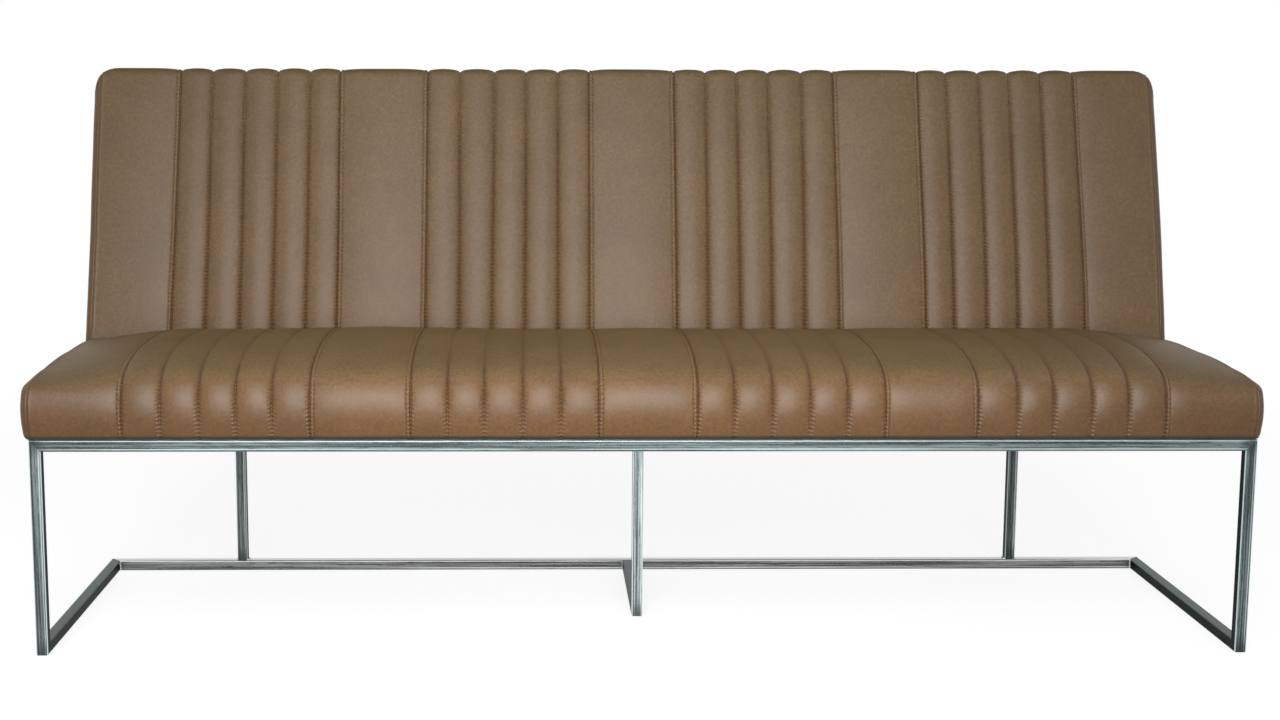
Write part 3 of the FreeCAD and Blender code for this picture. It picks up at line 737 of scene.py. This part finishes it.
class Nodes:
    """Node tree with short ways to add to it; each input is a socket or a plain value."""

    def __init__(self, tree):
        self.tree = tree

    def put(self, socket, value):
        """Link a socket into an input, or set the input to a value."""
        if isinstance(value, bpy.types.NodeSocket):
            self.tree.links.new(value, socket)
        else:
            socket.default_value = value

    def node(self, kind, inputs=(), **settings):
        """Shader node with its settings and inputs."""
        made = self.tree.nodes.new("ShaderNode" + kind)
        for key, value in settings.items():
            setattr(made, key, value)
        for key, value in dict(inputs).items():
            self.put(made.inputs[key], value)
        return made

    def maths(self, operation, first, second=0.0):
        """Maths node on two values."""
        return self.node("Math", {0: first, 1: second}, operation=operation).outputs[0]

    def ranged(self, value, low, high, new_low=0.0, new_high=1.0):
        """Value carried from one range to another, smooth and clamped."""
        names = ("Value", "From Min", "From Max", "To Min", "To Max")
        inputs = zip(names, (value, low, high, new_low, new_high))
        return self.node("MapRange", inputs, interpolation_type="SMOOTHSTEP").outputs["Result"]

    def blend(self, share, first, second):
        """Colour between two colours."""
        return self.node("Mix", {0: share, 6: first, 7: second}, data_type="RGBA").outputs[2]

    def noise(self, vector, scale, detail=4.0, roughness=0.55):
        """Noise value at a place."""
        inputs = {"Vector": vector, "Scale": scale, "Detail": detail, "Roughness": roughness}
        return self.node("TexNoise", inputs).outputs["Fac"]

    def axes(self, vector):
        """The X, Y and Z of a vector."""
        return self.node("SeparateXYZ", {0: vector}).outputs

    def coordinates(self, kind):
        """Texture coordinates of one kind."""
        return self.node("TexCoord").outputs[kind]


class Surface(Nodes):
    """Material in the making: a colour with others laid over it, and bumps on bumps."""

    def __init__(self, name, colour=None):
        self.material = bpy.data.materials.new(name)
        self.material.use_nodes = True
        super().__init__(self.material.node_tree)
        self.shader = self.tree.nodes["Principled BSDF"]
        self.colour = colour
        self.bumps = None
        self.place = self.stretched((1, 1, 1))

    def stretched(self, scale):
        """Object coordinates, stretched."""
        inputs = {"Vector": self.coordinates("Object"), "Scale": scale}
        return self.node("Mapping", inputs).outputs[0]

    def facing(self):
        """Direction that the surface faces, as its X, Y and Z."""
        return self.axes(self.node("NewGeometry").outputs["Normal"])

    def attribute(self, name):
        """Value of a float attribute of the mesh."""
        return self.node("Attribute", attribute_name=name).outputs["Fac"]

    def cover(self, share, colour):
        """Lay a share of a colour over the colour so far."""
        self.colour = self.blend(share, self.colour, colour)

    def tone(self, value):
        """Make the colour lighter or darker by a factor."""
        inputs = {"Color": self.colour, "Value": value}
        self.colour = self.node("HueSaturation", inputs).outputs["Color"]

    def bump(self, height, strength, distance):
        """Bump on top of the bumps so far."""
        inputs = {"Height": height, "Strength": strength, "Distance": distance}
        if self.bumps:
            inputs["Normal"] = self.bumps
        self.bumps = self.node("Bump", inputs).outputs[0]

    def finished(self, roughness, **constants):
        """The material, its shader's inputs filled in."""
        inputs = {"Base Color": self.colour, "Roughness": roughness}
        if self.bumps:
            inputs["Normal"] = self.bumps
        inputs.update((key.replace("_", " "), value) for key, value in constants.items())
        for key, value in inputs.items():
            self.put(self.shader.inputs[key], value)
        return self.material


def linear(*screen):
    """Colour from 0-255 screen values."""
    shares = [value / 255 for value in screen]
    return (*[s / 12.92 if s <= 0.04045 else ((s + 0.055) / 1.055) ** 2.4 for s in shares], 1.0)


def darker(colour, share):
    """Colour scaled down."""
    return tuple(c * share for c in colour[:3]) + (1.0,)


def leather(name, specular, end_shade, body, painted_lean_tint, painted_roll_light, painted_top_skylight, shade_red, shadowed):
    """Brown aniline leather, duller where it faces up, with painted light by the way it faces: a
    paler tint where it leans back, a lighter roll and an olive skylight tint on top.
    """
    skin = Surface(name, body)
    up = skin.facing()["Z"]
    # Painted light by facing: paler where the leather leans back, lighter on the roll, olive
    # skylight on top
    for low, high, colour in ((0.02, 0.27, painted_lean_tint), (0.45, 0.80, painted_roll_light), (0.86, 0.98, painted_top_skylight)):
        skin.cover(skin.ranged(up, low, high), colour)
    along, _, level = skin.axes(skin.place)
    to_end = skin.maths("ABSOLUTE", skin.maths("ADD", along, 0.12))
    clouds = skin.noise(skin.place, 9.0, 4.0, 0.6)
    mottle = skin.noise(skin.place, 200.0, 6.0, 0.75)
    scratches = skin.noise(skin.stretched((1, 0.3, 0.3)), 260.0, 4.0, 0.7)
    # Painted shade towards the ends (end_shade), random clouds, mottle and scratches, and a
    # painted highlight on the fold ridge
    for value, low, high, dark, light in (
        (to_end, 0.3, 1.2, 1.0, end_shade), (clouds, 0.35, 0.65, 0.94, 1.06),
        (mottle, 0.32, 0.68, 0.80, 1.22), (scratches, 0.58, 0.74, 1.0, 1.3),
        (skin.attribute("fold_highlight"), 0, 1, 1.0, 1.07),
    ):
        skin.tone(skin.ranged(value, low, high, dark, light))
    # Painted shade: darker and redder in seams, beside them, at the ends and along the foot
    skin.cover(skin.attribute("crease_shade"), shade_red)
    # Painted shade on the back's upward-facing top roll
    crown_shade = skin.ranged(level, 0.8, 0.9, 0.0, 0.5)
    skin.cover(skin.maths("MULTIPLY", skin.ranged(up, 0.55, 0.95), crown_shade), shadowed)
    # Painted shadow along the foot, just above the rail
    skin.cover(skin.ranged(level, foot_z + 0.0015, foot_z + 0.010, 0.95, 0.0), shadowed)
    cells = skin.node("TexVoronoi", {"Vector": skin.place, "Scale": 620.0}, feature="SMOOTH_F1")
    skin.bump(cells.outputs["Distance"], 0.14, 0.0004)
    skin.bump(skin.noise(skin.place, 110.0), 0.10, 0.0012)
    run = skin.maths("MULTIPLY", skin.attribute("seam_run"), 2 * math.pi / valley_pitch)
    reach = skin.ranged(skin.attribute("seam_distance"), 0.0005, 0.009, 1.0, 0.0)
    skin.bump(skin.maths("MULTIPLY", skin.maths("SINE", run), reach), 0.5, 0.0012)
    gloss = skin.ranged(mottle, 0.3, 0.7, 0.36, 0.44)
    dulled = skin.ranged(up, 0.7, 1.0, 0.0, 0.16)
    shine = skin.ranged(up, 0.5, 1.0, specular, 0.4 * specular)
    return skin.finished(skin.maths("ADD", gloss, dulled), Specular_IOR_Level=shine)


def thread(name, colour):
    """Twisted sewing thread."""
    cord = Surface(name, colour)
    twist = cord.node("TexWave", {"Vector": cord.place, "Scale": 900.0}).outputs["Fac"]
    cord.cover(twist, darker(colour, 0.6))
    cord.bump(twist, 0.3, 0.0002)
    return cord.finished(cord.ranged(twist, 0, 1, 0.5, 0.7))


def steel(name, along, tone, redness, length):
    """Mill-finish tube: drawn streaks on its ground front and rear, painted shade as dark scale on
    its sides and along its bottom, painted highlights along its edges and upward faces.
    """

    def shaded(share):
        return linear(min(255, redness * share * tone), *[min(255, share * tone)] * 2)

    def streaks(lengthwise, crosswise):
        scale = [lengthwise if axis == along else crosswise for axis in range(3)]
        return tube.noise(tube.stretched(scale), 1.0, 4.0, 0.65)

    tube = Surface(name, shaded(0.62))
    drawn, broken, grain = streaks(3.0, 360.0), streaks(26.0, 430.0), streaks(240.0, 1500.0)
    tube.cover(tube.ranged(drawn, 0.38, 0.60), shaded(1.32))
    tube.cover(tube.ranged(broken, 0.50, 0.68, 0.0, 0.85), shaded(0.55))
    tube.cover(tube.ranged(grain, 0.50, 0.72, 0.0, 0.6), shaded(1.5))
    place = tube.axes(tube.coordinates("Generated"))
    # Painted highlight: a bright line along each tube's face
    crosswise, line_place = (place["X"], 0.80) if along == 2 else (place["Z"], 0.20)
    from_line = tube.maths("ABSOLUTE", tube.maths("SUBTRACT", crosswise, line_place))
    highlight_line = tube.ranged(from_line, 0.02, 0.07, 1, 0)
    tube.cover(tube.maths("MULTIPLY", highlight_line, tube.ranged(drawn, 0.3, 0.6)), shaded(2.0))
    # Painted highlight along the top edge and painted shade along the bottom of each lying tube
    if along != 2:
        tube.cover(tube.ranged(place["Z"], 0.84, 0.90), shaded(2.4))
        tube.cover(tube.ranged(place["Z"], 0.04, 0.12, 0.8, 0), shaded(0.3))
    # Darker near the tube ends: weld heat tint and painted shade at the joints
    to_end = tube.maths("ABSOLUTE", tube.maths("SUBTRACT", place["XYZ"[along]], 0.5))
    weld_tint_and_joint_shade = tube.ranged(to_end, 0.5 - 0.035 / length, 0.5 - 0.004 / length, 0.0, 0.7)
    tube.cover(weld_tint_and_joint_shade, shaded(0.5))
    facing = tube.facing()
    sizes = [tube.maths("ABSOLUTE", facing[axis]) for axis in "XYZ"]
    patches = tube.noise(tube.place, 16.0, 5.0, 0.6)
    # Painted shade: dark scale on the faces that turn away from front and rear
    mill_scale_side_shade = tube.blend(patches, linear(12, 14, 14), linear(50, 54, 46))
    tube.cover(tube.ranged(sizes[1], 0.3, 0.8, 1.0, 0.0), mill_scale_side_shade)
    # Painted highlight on faces that turn upward
    upward = tube.ranged(facing["Z"], 0.4, 0.8, 0.0, 1.0 if along == 0 else 0.3)
    tube.cover(upward, shaded(2.4))
    # Painted highlight on the eased edges, weaker on the lower ones
    largest = tube.maths("MAXIMUM", tube.maths("MAXIMUM", sizes[0], sizes[1]), sizes[2])
    downward = tube.ranged(facing["Z"], -0.5, -0.1, 0.2, 1.0)
    edge_highlight = tube.maths("MULTIPLY", tube.ranged(largest, 0.80, 0.97, 0.9, 0.0), downward)
    tube.cover(tube.maths("MULTIPLY", edge_highlight, tube.ranged(sizes[1], 0.2, 0.5)), shaded(2.2))
    tube.bump(grain, 0.2, 0.0002)
    rough = tube.ranged(grain, 0.3, 0.7, 0.32, 0.44)
    return tube.finished(rough, Metallic=0.9, Specular_Tint=(0.45, 0.47, 0.47, 1.0))


def plain_metal(name, colour, rough, cell=400.0):
    """Small metal parts with a fine uneven surface."""
    metal = Surface(name, colour)
    grain = metal.noise(metal.place, cell)
    metal.cover(metal.ranged(grain, 0.3, 0.7), darker(colour, 0.55))
    metal.bump(grain, 0.15, 0.0002)
    return metal.finished(metal.ranged(grain, 0.3, 0.7, rough - 0.06, rough + 0.08), Metallic=1.0)


def wood(name, along):
    """Sawn softwood with growth lines along the member."""
    pine = Surface(name, linear(205, 170, 120))
    place = pine.stretched([0.06 if axis == along else 1.0 for axis in range(3)])
    bands = {"Vector": place, "Scale": 38.0, "Distortion": 6.0, "Detail": 3.0}
    rings = pine.node("TexWave", bands, bands_direction="DIAGONAL").outputs["Fac"]
    fibre = pine.noise(place, 420.0)
    pine.cover(rings, linear(172, 130, 82))
    pine.cover(pine.ranged(fibre, 0.4, 0.7, 0, 0.4), linear(150, 110, 68))
    pine.bump(fibre, 0.3, 0.0004)
    return pine.finished(pine.ranged(fibre, 0.3, 0.7, 0.62, 0.78))


def woven(name, first, second, pitch, bump):
    """Plain weave from two crossed waves in object space."""
    cloth = Surface(name, first)
    wave = {"Vector": cloth.place, "Scale": 0.314 / pitch}
    threads = [
        cloth.node("TexWave", wave, bands_direction=axis).outputs["Fac"] for axis in "XY"
    ]
    weave = cloth.maths("MULTIPLY", *threads)
    slubs = cloth.noise(cloth.place, 90.0)
    cloth.cover(cloth.maths("MULTIPLY", weave, slubs), second)
    cloth.bump(weave, bump, 0.0003)
    return cloth.finished(cloth.ranged(slubs, 0.3, 0.7, 0.8, 0.92))


def foam_material(name):
    """Open-cell polyurethane foam."""
    foam = Surface(name, linear(190, 180, 140))
    pores = {"Vector": foam.place, "Scale": 700.0}
    cells = foam.node("TexVoronoi", pores).outputs["Distance"]
    foam.cover(foam.ranged(cells, 0.1, 0.7), linear(228, 220, 188))
    yellowed = foam.ranged(foam.noise(foam.place, 12.0), 0.4, 0.7, 0, 0.3)
    foam.cover(yellowed, linear(214, 196, 150))
    foam.bump(cells, 0.5, 0.0006)
    return foam.finished(foam.ranged(cells, 0.1, 0.7, 0.98, 0.9))


seat_tones = {
    "body": linear(120, 84, 46),
    "painted_lean_tint": linear(127, 94, 58),
    "painted_roll_light": linear(135, 106, 70),
    "painted_top_skylight": linear(127, 104, 69),
    "shade_red": linear(84, 50, 24),
    "shadowed": linear(34, 28, 16),
}
back_tones = {**seat_tones, "painted_lean_tint": linear(118, 95, 66), "painted_roll_light": linear(120, 97, 60)}
materials = {
    "seat_leather": leather("seat_leather", 0.48, 0.73, **seat_tones),
    "back_leather": leather("back_leather", 0.34, 0.94, **back_tones),
    "rear_leather": leather("rear_leather", 0.34, 0.94, **back_tones),
    "thread": thread("seam_thread", linear(60, 37, 24)),
    "foam": foam_material("upholstery_foam"),
    "cambric": woven("black_cambric", linear(22, 22, 24), linear(58, 58, 62), 0.0012, 0.2),
    "webbing": woven("elastic_webbing", linear(28, 28, 30), linear(150, 146, 138), 0.004, 0.4),
    "weld": plain_metal("weld_metal", (0.78, 0.80, 0.82, 1), 0.28, 700.0),
    "zinc": plain_metal("zinc_plate", (0.62, 0.64, 0.66, 1), 0.32),
}


# Leather cushions


def make_cushion(name, shape, formed, placed, opening_x, node):
    """One leather cushion with its thread, from outline to finished pieces."""
    grid = formed(section_grid(shape, quilted))
    grid = sewn(swollen(grid, shape), shape)
    grid = placed(grid)
    skin = cushion_skin(name + "_leather", grid, shape, opening_x)
    fitted(skin, name + "_leather", name + "_leather", node)
    threads = stitches(name + "_stitching", stitch_runs(grid, shape))
    fitted(threads, "thread", name + "_leather")


seat_opening, back_opening = half_width - lip_width, half_width - back_rim + 0.002
make_cushion("seat", seat_outline(), seat_ends, seat_place, seat_opening, "seat_cover")
make_cushion("back", back_outline(), back_corners, back_place, back_opening, "back_cover")


# Foam, rear panel, straps and linings


def soft_block(name, grid, stuff, node):
    """Crowned block with eased edges and rounded ends."""
    block = new_object(name, grid.reshape(-1, 3), grid_faces(*grid.shape[:2]))
    fitted(block, stuff, stuff, node)


def seat_foam():
    """Foam slab under the seat's quilting."""
    front, rear_low, rear_high = -0.3455, 0.1155, 0.1290
    low, high = 0.3936, 0.4405
    corners = [(front, low), (front, high), (rear_high, high + 0.002), (rear_low, low)]
    spine = ((front + 0.02, 0.419), (rear_low - 0.02, 0.419))
    shape = block_outline(corners, 0.014, (0.001, 0.005, 0.001, 0), (4, 40, 4, 24), spine)
    soft_block("seat_foam_slab", section_grid(shape, Columns(foam_half)), "foam", "seat_foam")


def back_foam():
    """Foam slab between the back's quilting and its straps."""
    front, rear = 0.0130, 0.0480
    foot, top = rise_at(front, lining_z) + 0.001, 0.607
    rear_foot = rise_at(rear, lining_z) + 0.001
    corners = [lean(front, foot), lean(front, top), lean(rear, top), lean(rear, rear_foot)]
    spine = (lean(0.0305, foot + 0.02), lean(0.0305, top - 0.02))
    shape = block_outline(corners, 0.008, (0.0015, 0, 0, 0), (60, 4, 40, 4), spine)
    soft_block("back_foam_slab", section_grid(shape, Columns(foam_half)), "foam", "back_foam")


def rear_panel():
    """Leather-covered board that closes the rear of the back."""
    front, rear = back_thickness - panel_thickness, back_thickness
    top = back_rise - back_rim - 0.0006
    corners = [
        lean(front, rise_at(front, lining_z) + 0.0003), lean(front, top),
        lean(rear, top), lean(rear, rise_at(rear, lining_z) + 0.0003),
    ]
    middle = (front + rear) / 2
    spine = (lean(middle, rise_at(middle, lining_z) + 0.003), lean(middle, top - 0.003))
    shape = block_outline(corners, 0.0018, (0, 0, 0.0022, 0), (30, 2, 60, 2), spine)
    grid = section_grid(shape, Columns(half_width - back_rim + 0.001))
    grid = back_place(back_corners(grid))
    soft_block("back_rear_panel", grid, "rear_leather", "back_outer_panel")


def strap(centre_x, start, stop, out, sag):
    """Rings of one strap from start to stop in the y-z plane, sagging between its ends."""
    start, stop, out = (np.array(p) for p in (start, stop, out))
    section = ((-1, 0), (-0.96, 1), (0.96, 1), (1, 0), (0.96, -1), (-0.96, -1))
    rings = []
    for share in np.linspace(0, 1, 25):
        hang = sag * smooth_step(0, 0.25, share) * smooth_step(1, 0.75, share)
        middle = start * (1 - share) + stop * share + out * hang
        rings.append([
            (centre_x + wide * strap_width / 2, *(middle - out * thick * strap_thickness / 2))
            for wide, thick in section
        ])
    return rings


def webbing(name, laid):
    """All straps of one cushion as one piece."""
    straps = ringed(name + "_straps", laid, smooth=False)
    fitted(straps, "webbing", "webbing", name + "_webbing")


def seat_straps():
    """Elastic straps over the seat's timbers."""
    front, rear = (-0.3396, strap_z), (0.0981, strap_z)
    edges = [timber_half * share for share in (-1, -0.5, 0, 0.5, 1)]
    laid = []
    for left, right in zip(edges, edges[1:]):
        for index in range(straps_per_bay):
            x = left + (right - left) * (index + 1) / (straps_per_bay + 1)
            laid.append(strap(x, front, rear, (0, -1), 0.004))
    webbing("seat", laid)


def back_straps():
    """Elastic straps on the front of the back's timbers."""
    depth = back_thickness - panel_thickness - timber_width - strap_thickness / 2
    foot, head = lean(depth, 0.0507), lean(depth, 0.5843)
    rearward = (math.cos(recline), -math.sin(recline))
    inner = [upright_x * share for share in (0.2, 0.4, 0.6, 0.8)]
    outer = (upright_x + timber_half) / 2
    places = [-outer, *(-x for x in inner), *inner, outer]
    webbing("back", [strap(x, foot, head, rearward, 0.003) for x in places])


def lining(side, low, high, sag, rails):
    """Black cloth under a cushion: taut over the rails, sagging a little between them."""
    columns, rows = 121, 29
    xs = np.linspace(low[0], high[0], columns)
    ys = np.linspace(low[1], high[1], rows)
    x, y = np.meshgrid(xs, ys, indexing="ij")
    fall = np.minimum(smooth_step(0, 0.1, x - low[0]), smooth_step(0, 0.1, high[0] - x))
    fall *= np.minimum(smooth_step(0, 0.07, y - low[1]), smooth_step(0, 0.07, high[1] - y))
    for rail in rails:
        fall *= smooth_step(0.012, 0.12, np.abs(x - rail))
    creases = noise_field(np.stack([x, y, 0 * x], 2), (6, 16, 1), 2)
    z = lining_z - 0.0004 - sag * fall * (1 + 0.25 * creases)
    column, row = np.meshgrid(np.arange(columns - 1), np.arange(rows - 1), indexing="ij")
    at = column * rows + row
    quads = np.stack([at, at + rows, at + rows + 1, at + 1], 2).reshape(-1, 4)
    vertices = np.stack([x, y, z], 2).reshape(-1, 3)
    cloth = new_object(side + "_lining", vertices, [tuple(quad) for quad in quads.tolist()])
    fitted(cloth, "cambric", "cambric", side + "_cambric")


seat_foam()
back_foam()
rear_panel()
seat_straps()
back_straps()
cross_rails = (-end_centre_x, 0, end_centre_x)
lining("seat", (-0.9667, -0.3306), (0.9667, 0.0809), 0.004, cross_rails)
lining("back", (-0.9667, 0.1480), (0.9667, 0.1828), 0.0, ())


# Welds


def bead(corner, along, first, second):
    """Rings of a rippled fillet in the corner between two tube faces."""
    corner, along, first, second = (np.array(v, float) for v in (corner, along, first, second))
    if np.cross(first, second) @ along < 0:
        first, second = second, first
    length = tube_size - 2 * tube_ease
    rings = []
    for index in range(33):
        share = index / 32
        ripple = 1 + 0.16 * math.sin(2 * math.pi * 5.5 * share)
        end = math.sqrt(max(0.0, 1 - abs(2 * share - 1) ** 6))
        leg = bead_leg * (0.35 + 0.75 * end) * ripple
        spine = corner + along * (share - 0.5) * length
        ring = [spine - (first + second) * 0.0004]
        for k in range(6):
            angle = math.pi / 2 * k / 5
            swell = 0.86 + 0.14 * abs(math.cos(2 * angle))
            spoke = first * math.cos(angle) + second * math.sin(angle)
            ring.append(spine + spoke * leg * swell)
        rings.append(ring)
    return rings


def bead_places():
    """Corner, run and two leg directions of every fillet weld."""
    places = []
    rail_z = frame_height - half_tube
    rail_under, rear_y = frame_height - tube_size, frame_rear_y - half_tube
    behind_front, before_rear = frame_front_y + tube_size, frame_rear_y - tube_size
    for sign in (1, -1):
        outward = (sign, 0, 0)
        for x in (-upright_x, upright_x):
            side = x + sign * half_tube
            places.append(((side, rear_y, tube_size), (0, 1, 0), outward, (0, 0, 1)))
            places.append(((side, rear_y, rail_under), (0, 1, 0), outward, (0, 0, -1)))
        side, inner_x = sign * half_tube, sign * (end_centre_x - half_tube)
        for x, leg, y, z, facing in (
            (side, sign, before_rear, half_tube, -1), (side, sign, before_rear, rail_z, -1),
            (side, sign, behind_front, rail_z, 1), (inner_x, -sign, behind_front, rail_z, 1),
            (inner_x, -sign, before_rear, half_tube, -1),
        ):
            places.append(((x, y, z), (0, 0, 1), (leg, 0, 0), (0, facing, 0)))
        leg = (0, centre_leg_y + sign * half_tube, rail_under)
        places.append((leg, (1, 0, 0), (0, sign, 0), (0, 0, -1)))
    return places


welds = ringed("rippled_welds", [bead(*place) for place in bead_places()])
fitted(welds, "weld", "weld", "weld_beads")


# Rigid CAD pieces


def finish_node(node, material, ease, segments=2):
    """Material and rounded edges for a CAD node."""
    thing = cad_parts[node]
    thing.data.materials.clear()
    thing.data.materials.append(material)
    bevel = thing.modifiers.new("edges", "BEVEL")
    bevel.width = ease
    bevel.segments = segments
    bevel.limit_method = "ANGLE"
    bevel.angle_limit = math.radians(25)
    bevel.harden_normals = True
    thing.data.polygons.foreach_set("use_smooth", [True] * len(thing.data.polygons))


def tube_nodes():
    """Steel tubes: the axis that each runs along, the tone of its ground front, its redness. Each
    tone holds painted light: lighter or darker per tube as the light falls on it.
    """
    tubes = {
        "front_top_rail": (0, 100, 0.91), "rear_top_rail": (0, 90, 0.95),
        "rear_floor_rail": (0, 104, 0.99), "centre_cross_rail": (1, 90, 0.95),
        "centre_floor_runner": (1, 90, 0.95), "centre_leg": (2, 132, 0.92),
        "left_front_leg": (2, 104, 0.94), "right_front_leg": (2, 98, 0.91),
    }
    for side in ("left_", "right_"):
        tubes[side + "side_rail"] = (1, 80, 0.95)
        tubes[side + "floor_runner"] = (1, 90, 0.95)
        tubes[side + "rear_upright"] = (2, 84, 0.95)
        tubes[side + "back_post"] = (2, 84, 0.95)
    return tubes


def finish_rigid():
    """Steel, zinc and timber."""
    for node, (along, tone, redness) in tube_nodes().items():
        low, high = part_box(node)
        metal = steel("steel_" + node, along, tone, redness, high[along] - low[along])
        finish_node(node, metal, 0.0009)
    for node in ("seat_fixing_tabs", "seat_screws", "back_post_bolts"):
        finish_node(node, materials["zinc"], 0.0003, 1)
    pine = [wood("pine_" + axis, "xyz".index(axis)) for axis in "xyz"]
    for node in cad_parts:
        if "timber" in node or "stile" in node:
            upright = "stile" in node or "inner" in node
            crossing = "end" in node or "cross" in node
            axis = 2 if upright else 1 if crossing else 0
            finish_node(node, pine[axis], 0.0015)


finish_rigid()


# Studio


def lamp(name, place, target, size, power, spread):
    """Rectangular soft light, its beam as wide as the spread in degrees."""
    light = bpy.data.lights.new(name, "AREA")
    light.shape = "RECTANGLE"
    light.size, light.size_y = size
    light.energy = power
    light.spread = math.radians(spread)
    thing = bpy.data.objects.new(name, light)
    thing.location = place
    thing.rotation_euler = (Vector(target) - Vector(place)).to_track_quat("-Z", "Y").to_euler()
    bpy.context.scene.collection.objects.link(thing)


def seen_directly(nodes):
    """1 for camera, glossy and transmission rays, 0 for the rays that light the bench."""
    path = nodes.node("LightPath").outputs
    either = nodes.maths("MAXIMUM", path["Is Camera Ray"], path["Is Glossy Ray"])
    return nodes.maths("MAXIMUM", either, path["Is Transmission Ray"])


def mixed(nodes, share, first, second):
    """Output of one shader mixed with another."""
    return nodes.node("MixShader", {0: share, 1: first, 2: second}).outputs[0]


def studio_floor():
    """Pale floor that keeps the bench's shadow and fades to white further out."""
    reach = 30.0
    corners = [(x * reach, y * reach, 0) for x, y in ((-1, -1), (1, -1), (1, 1), (-1, 1))]
    floor = new_object("studio_floor", corners, [(0, 1, 2, 3)], smooth=False)
    pale = Surface("pale_floor", (0.5, 0.5, 0.5, 1))
    floor.data.materials.append(pale.finished(0.9, Specular_IOR_Level=0.1))
    plain = pale.shader.outputs[0]
    white, lift = (
        pale.node("Emission", {"Strength": strength}).outputs[0] for strength in (1.0, 0.82)
    )
    lit = pale.node("AddShader", {0: plain, 1: lift}).outputs[0]
    place = pale.coordinates("Object")
    far = pale.node("VectorMath", {0: place}, operation="LENGTH").outputs["Value"]
    shown = mixed(pale, pale.ranged(far, 1.3, 3.2), lit, white)
    surface = pale.tree.nodes["Material Output"].inputs["Surface"]
    pale.put(surface, mixed(pale, seen_directly(pale), plain, shown))


def studio_world():
    """White to look at, softer as a light, dimmer from below."""
    world = bpy.data.worlds.new("studio")
    bpy.context.scene.world = world
    world.use_nodes = True
    sky = Nodes(world.node_tree)
    height = sky.axes(sky.coordinates("Generated"))["Z"]
    low, high = (0.07, 0.07, 0.07, 1), (0.22, 0.225, 0.23, 1)
    light = sky.tree.nodes["Background"]
    sky.put(light.inputs["Color"], sky.blend(sky.ranged(height, 0.0, 0.7), low, high))
    white = sky.node("Background", {"Color": (1, 1, 1, 1)})
    seen = mixed(sky, seen_directly(sky), light.outputs[0], white.outputs[0])
    sky.put(sky.tree.nodes["World Output"].inputs["Surface"], seen)


def photo_camera():
    """Camera where the photograph was taken from."""
    pitch, yaw, roll = (math.radians(a) for a in (8.3122, -1.0174, 0.1510))
    data = bpy.data.cameras.new("photo_camera")
    data.lens = 52.506
    data.sensor_width = 36.0
    data.shift_x = 0.06056
    camera = bpy.data.objects.new("photo_camera", data)
    bpy.context.scene.collection.objects.link(camera)
    tilted = Matrix.Rotation(math.pi / 2 - pitch, 4, "X") @ Matrix.Rotation(roll, 4, "Z")
    turned = Matrix.Rotation(yaw, 4, "Z") @ tilted
    camera.matrix_world = Matrix.Translation((-0.1880, -3.3030, 0.9169)) @ turned
    bpy.context.scene.camera = camera


studio_floor()
studio_world()
photo_camera()
lamp("key", (-0.25, -3.5, 1.25), (-0.1, 0, 0.55), (2.4, 2.0), 17.5, 72)
lamp("top", (-0.25, -2.7, 2.8), (-0.1, -0.25, 0.42), (2.4, 1.0), 3, 60)
bpy.context.scene.view_settings.view_transform = "Standard"
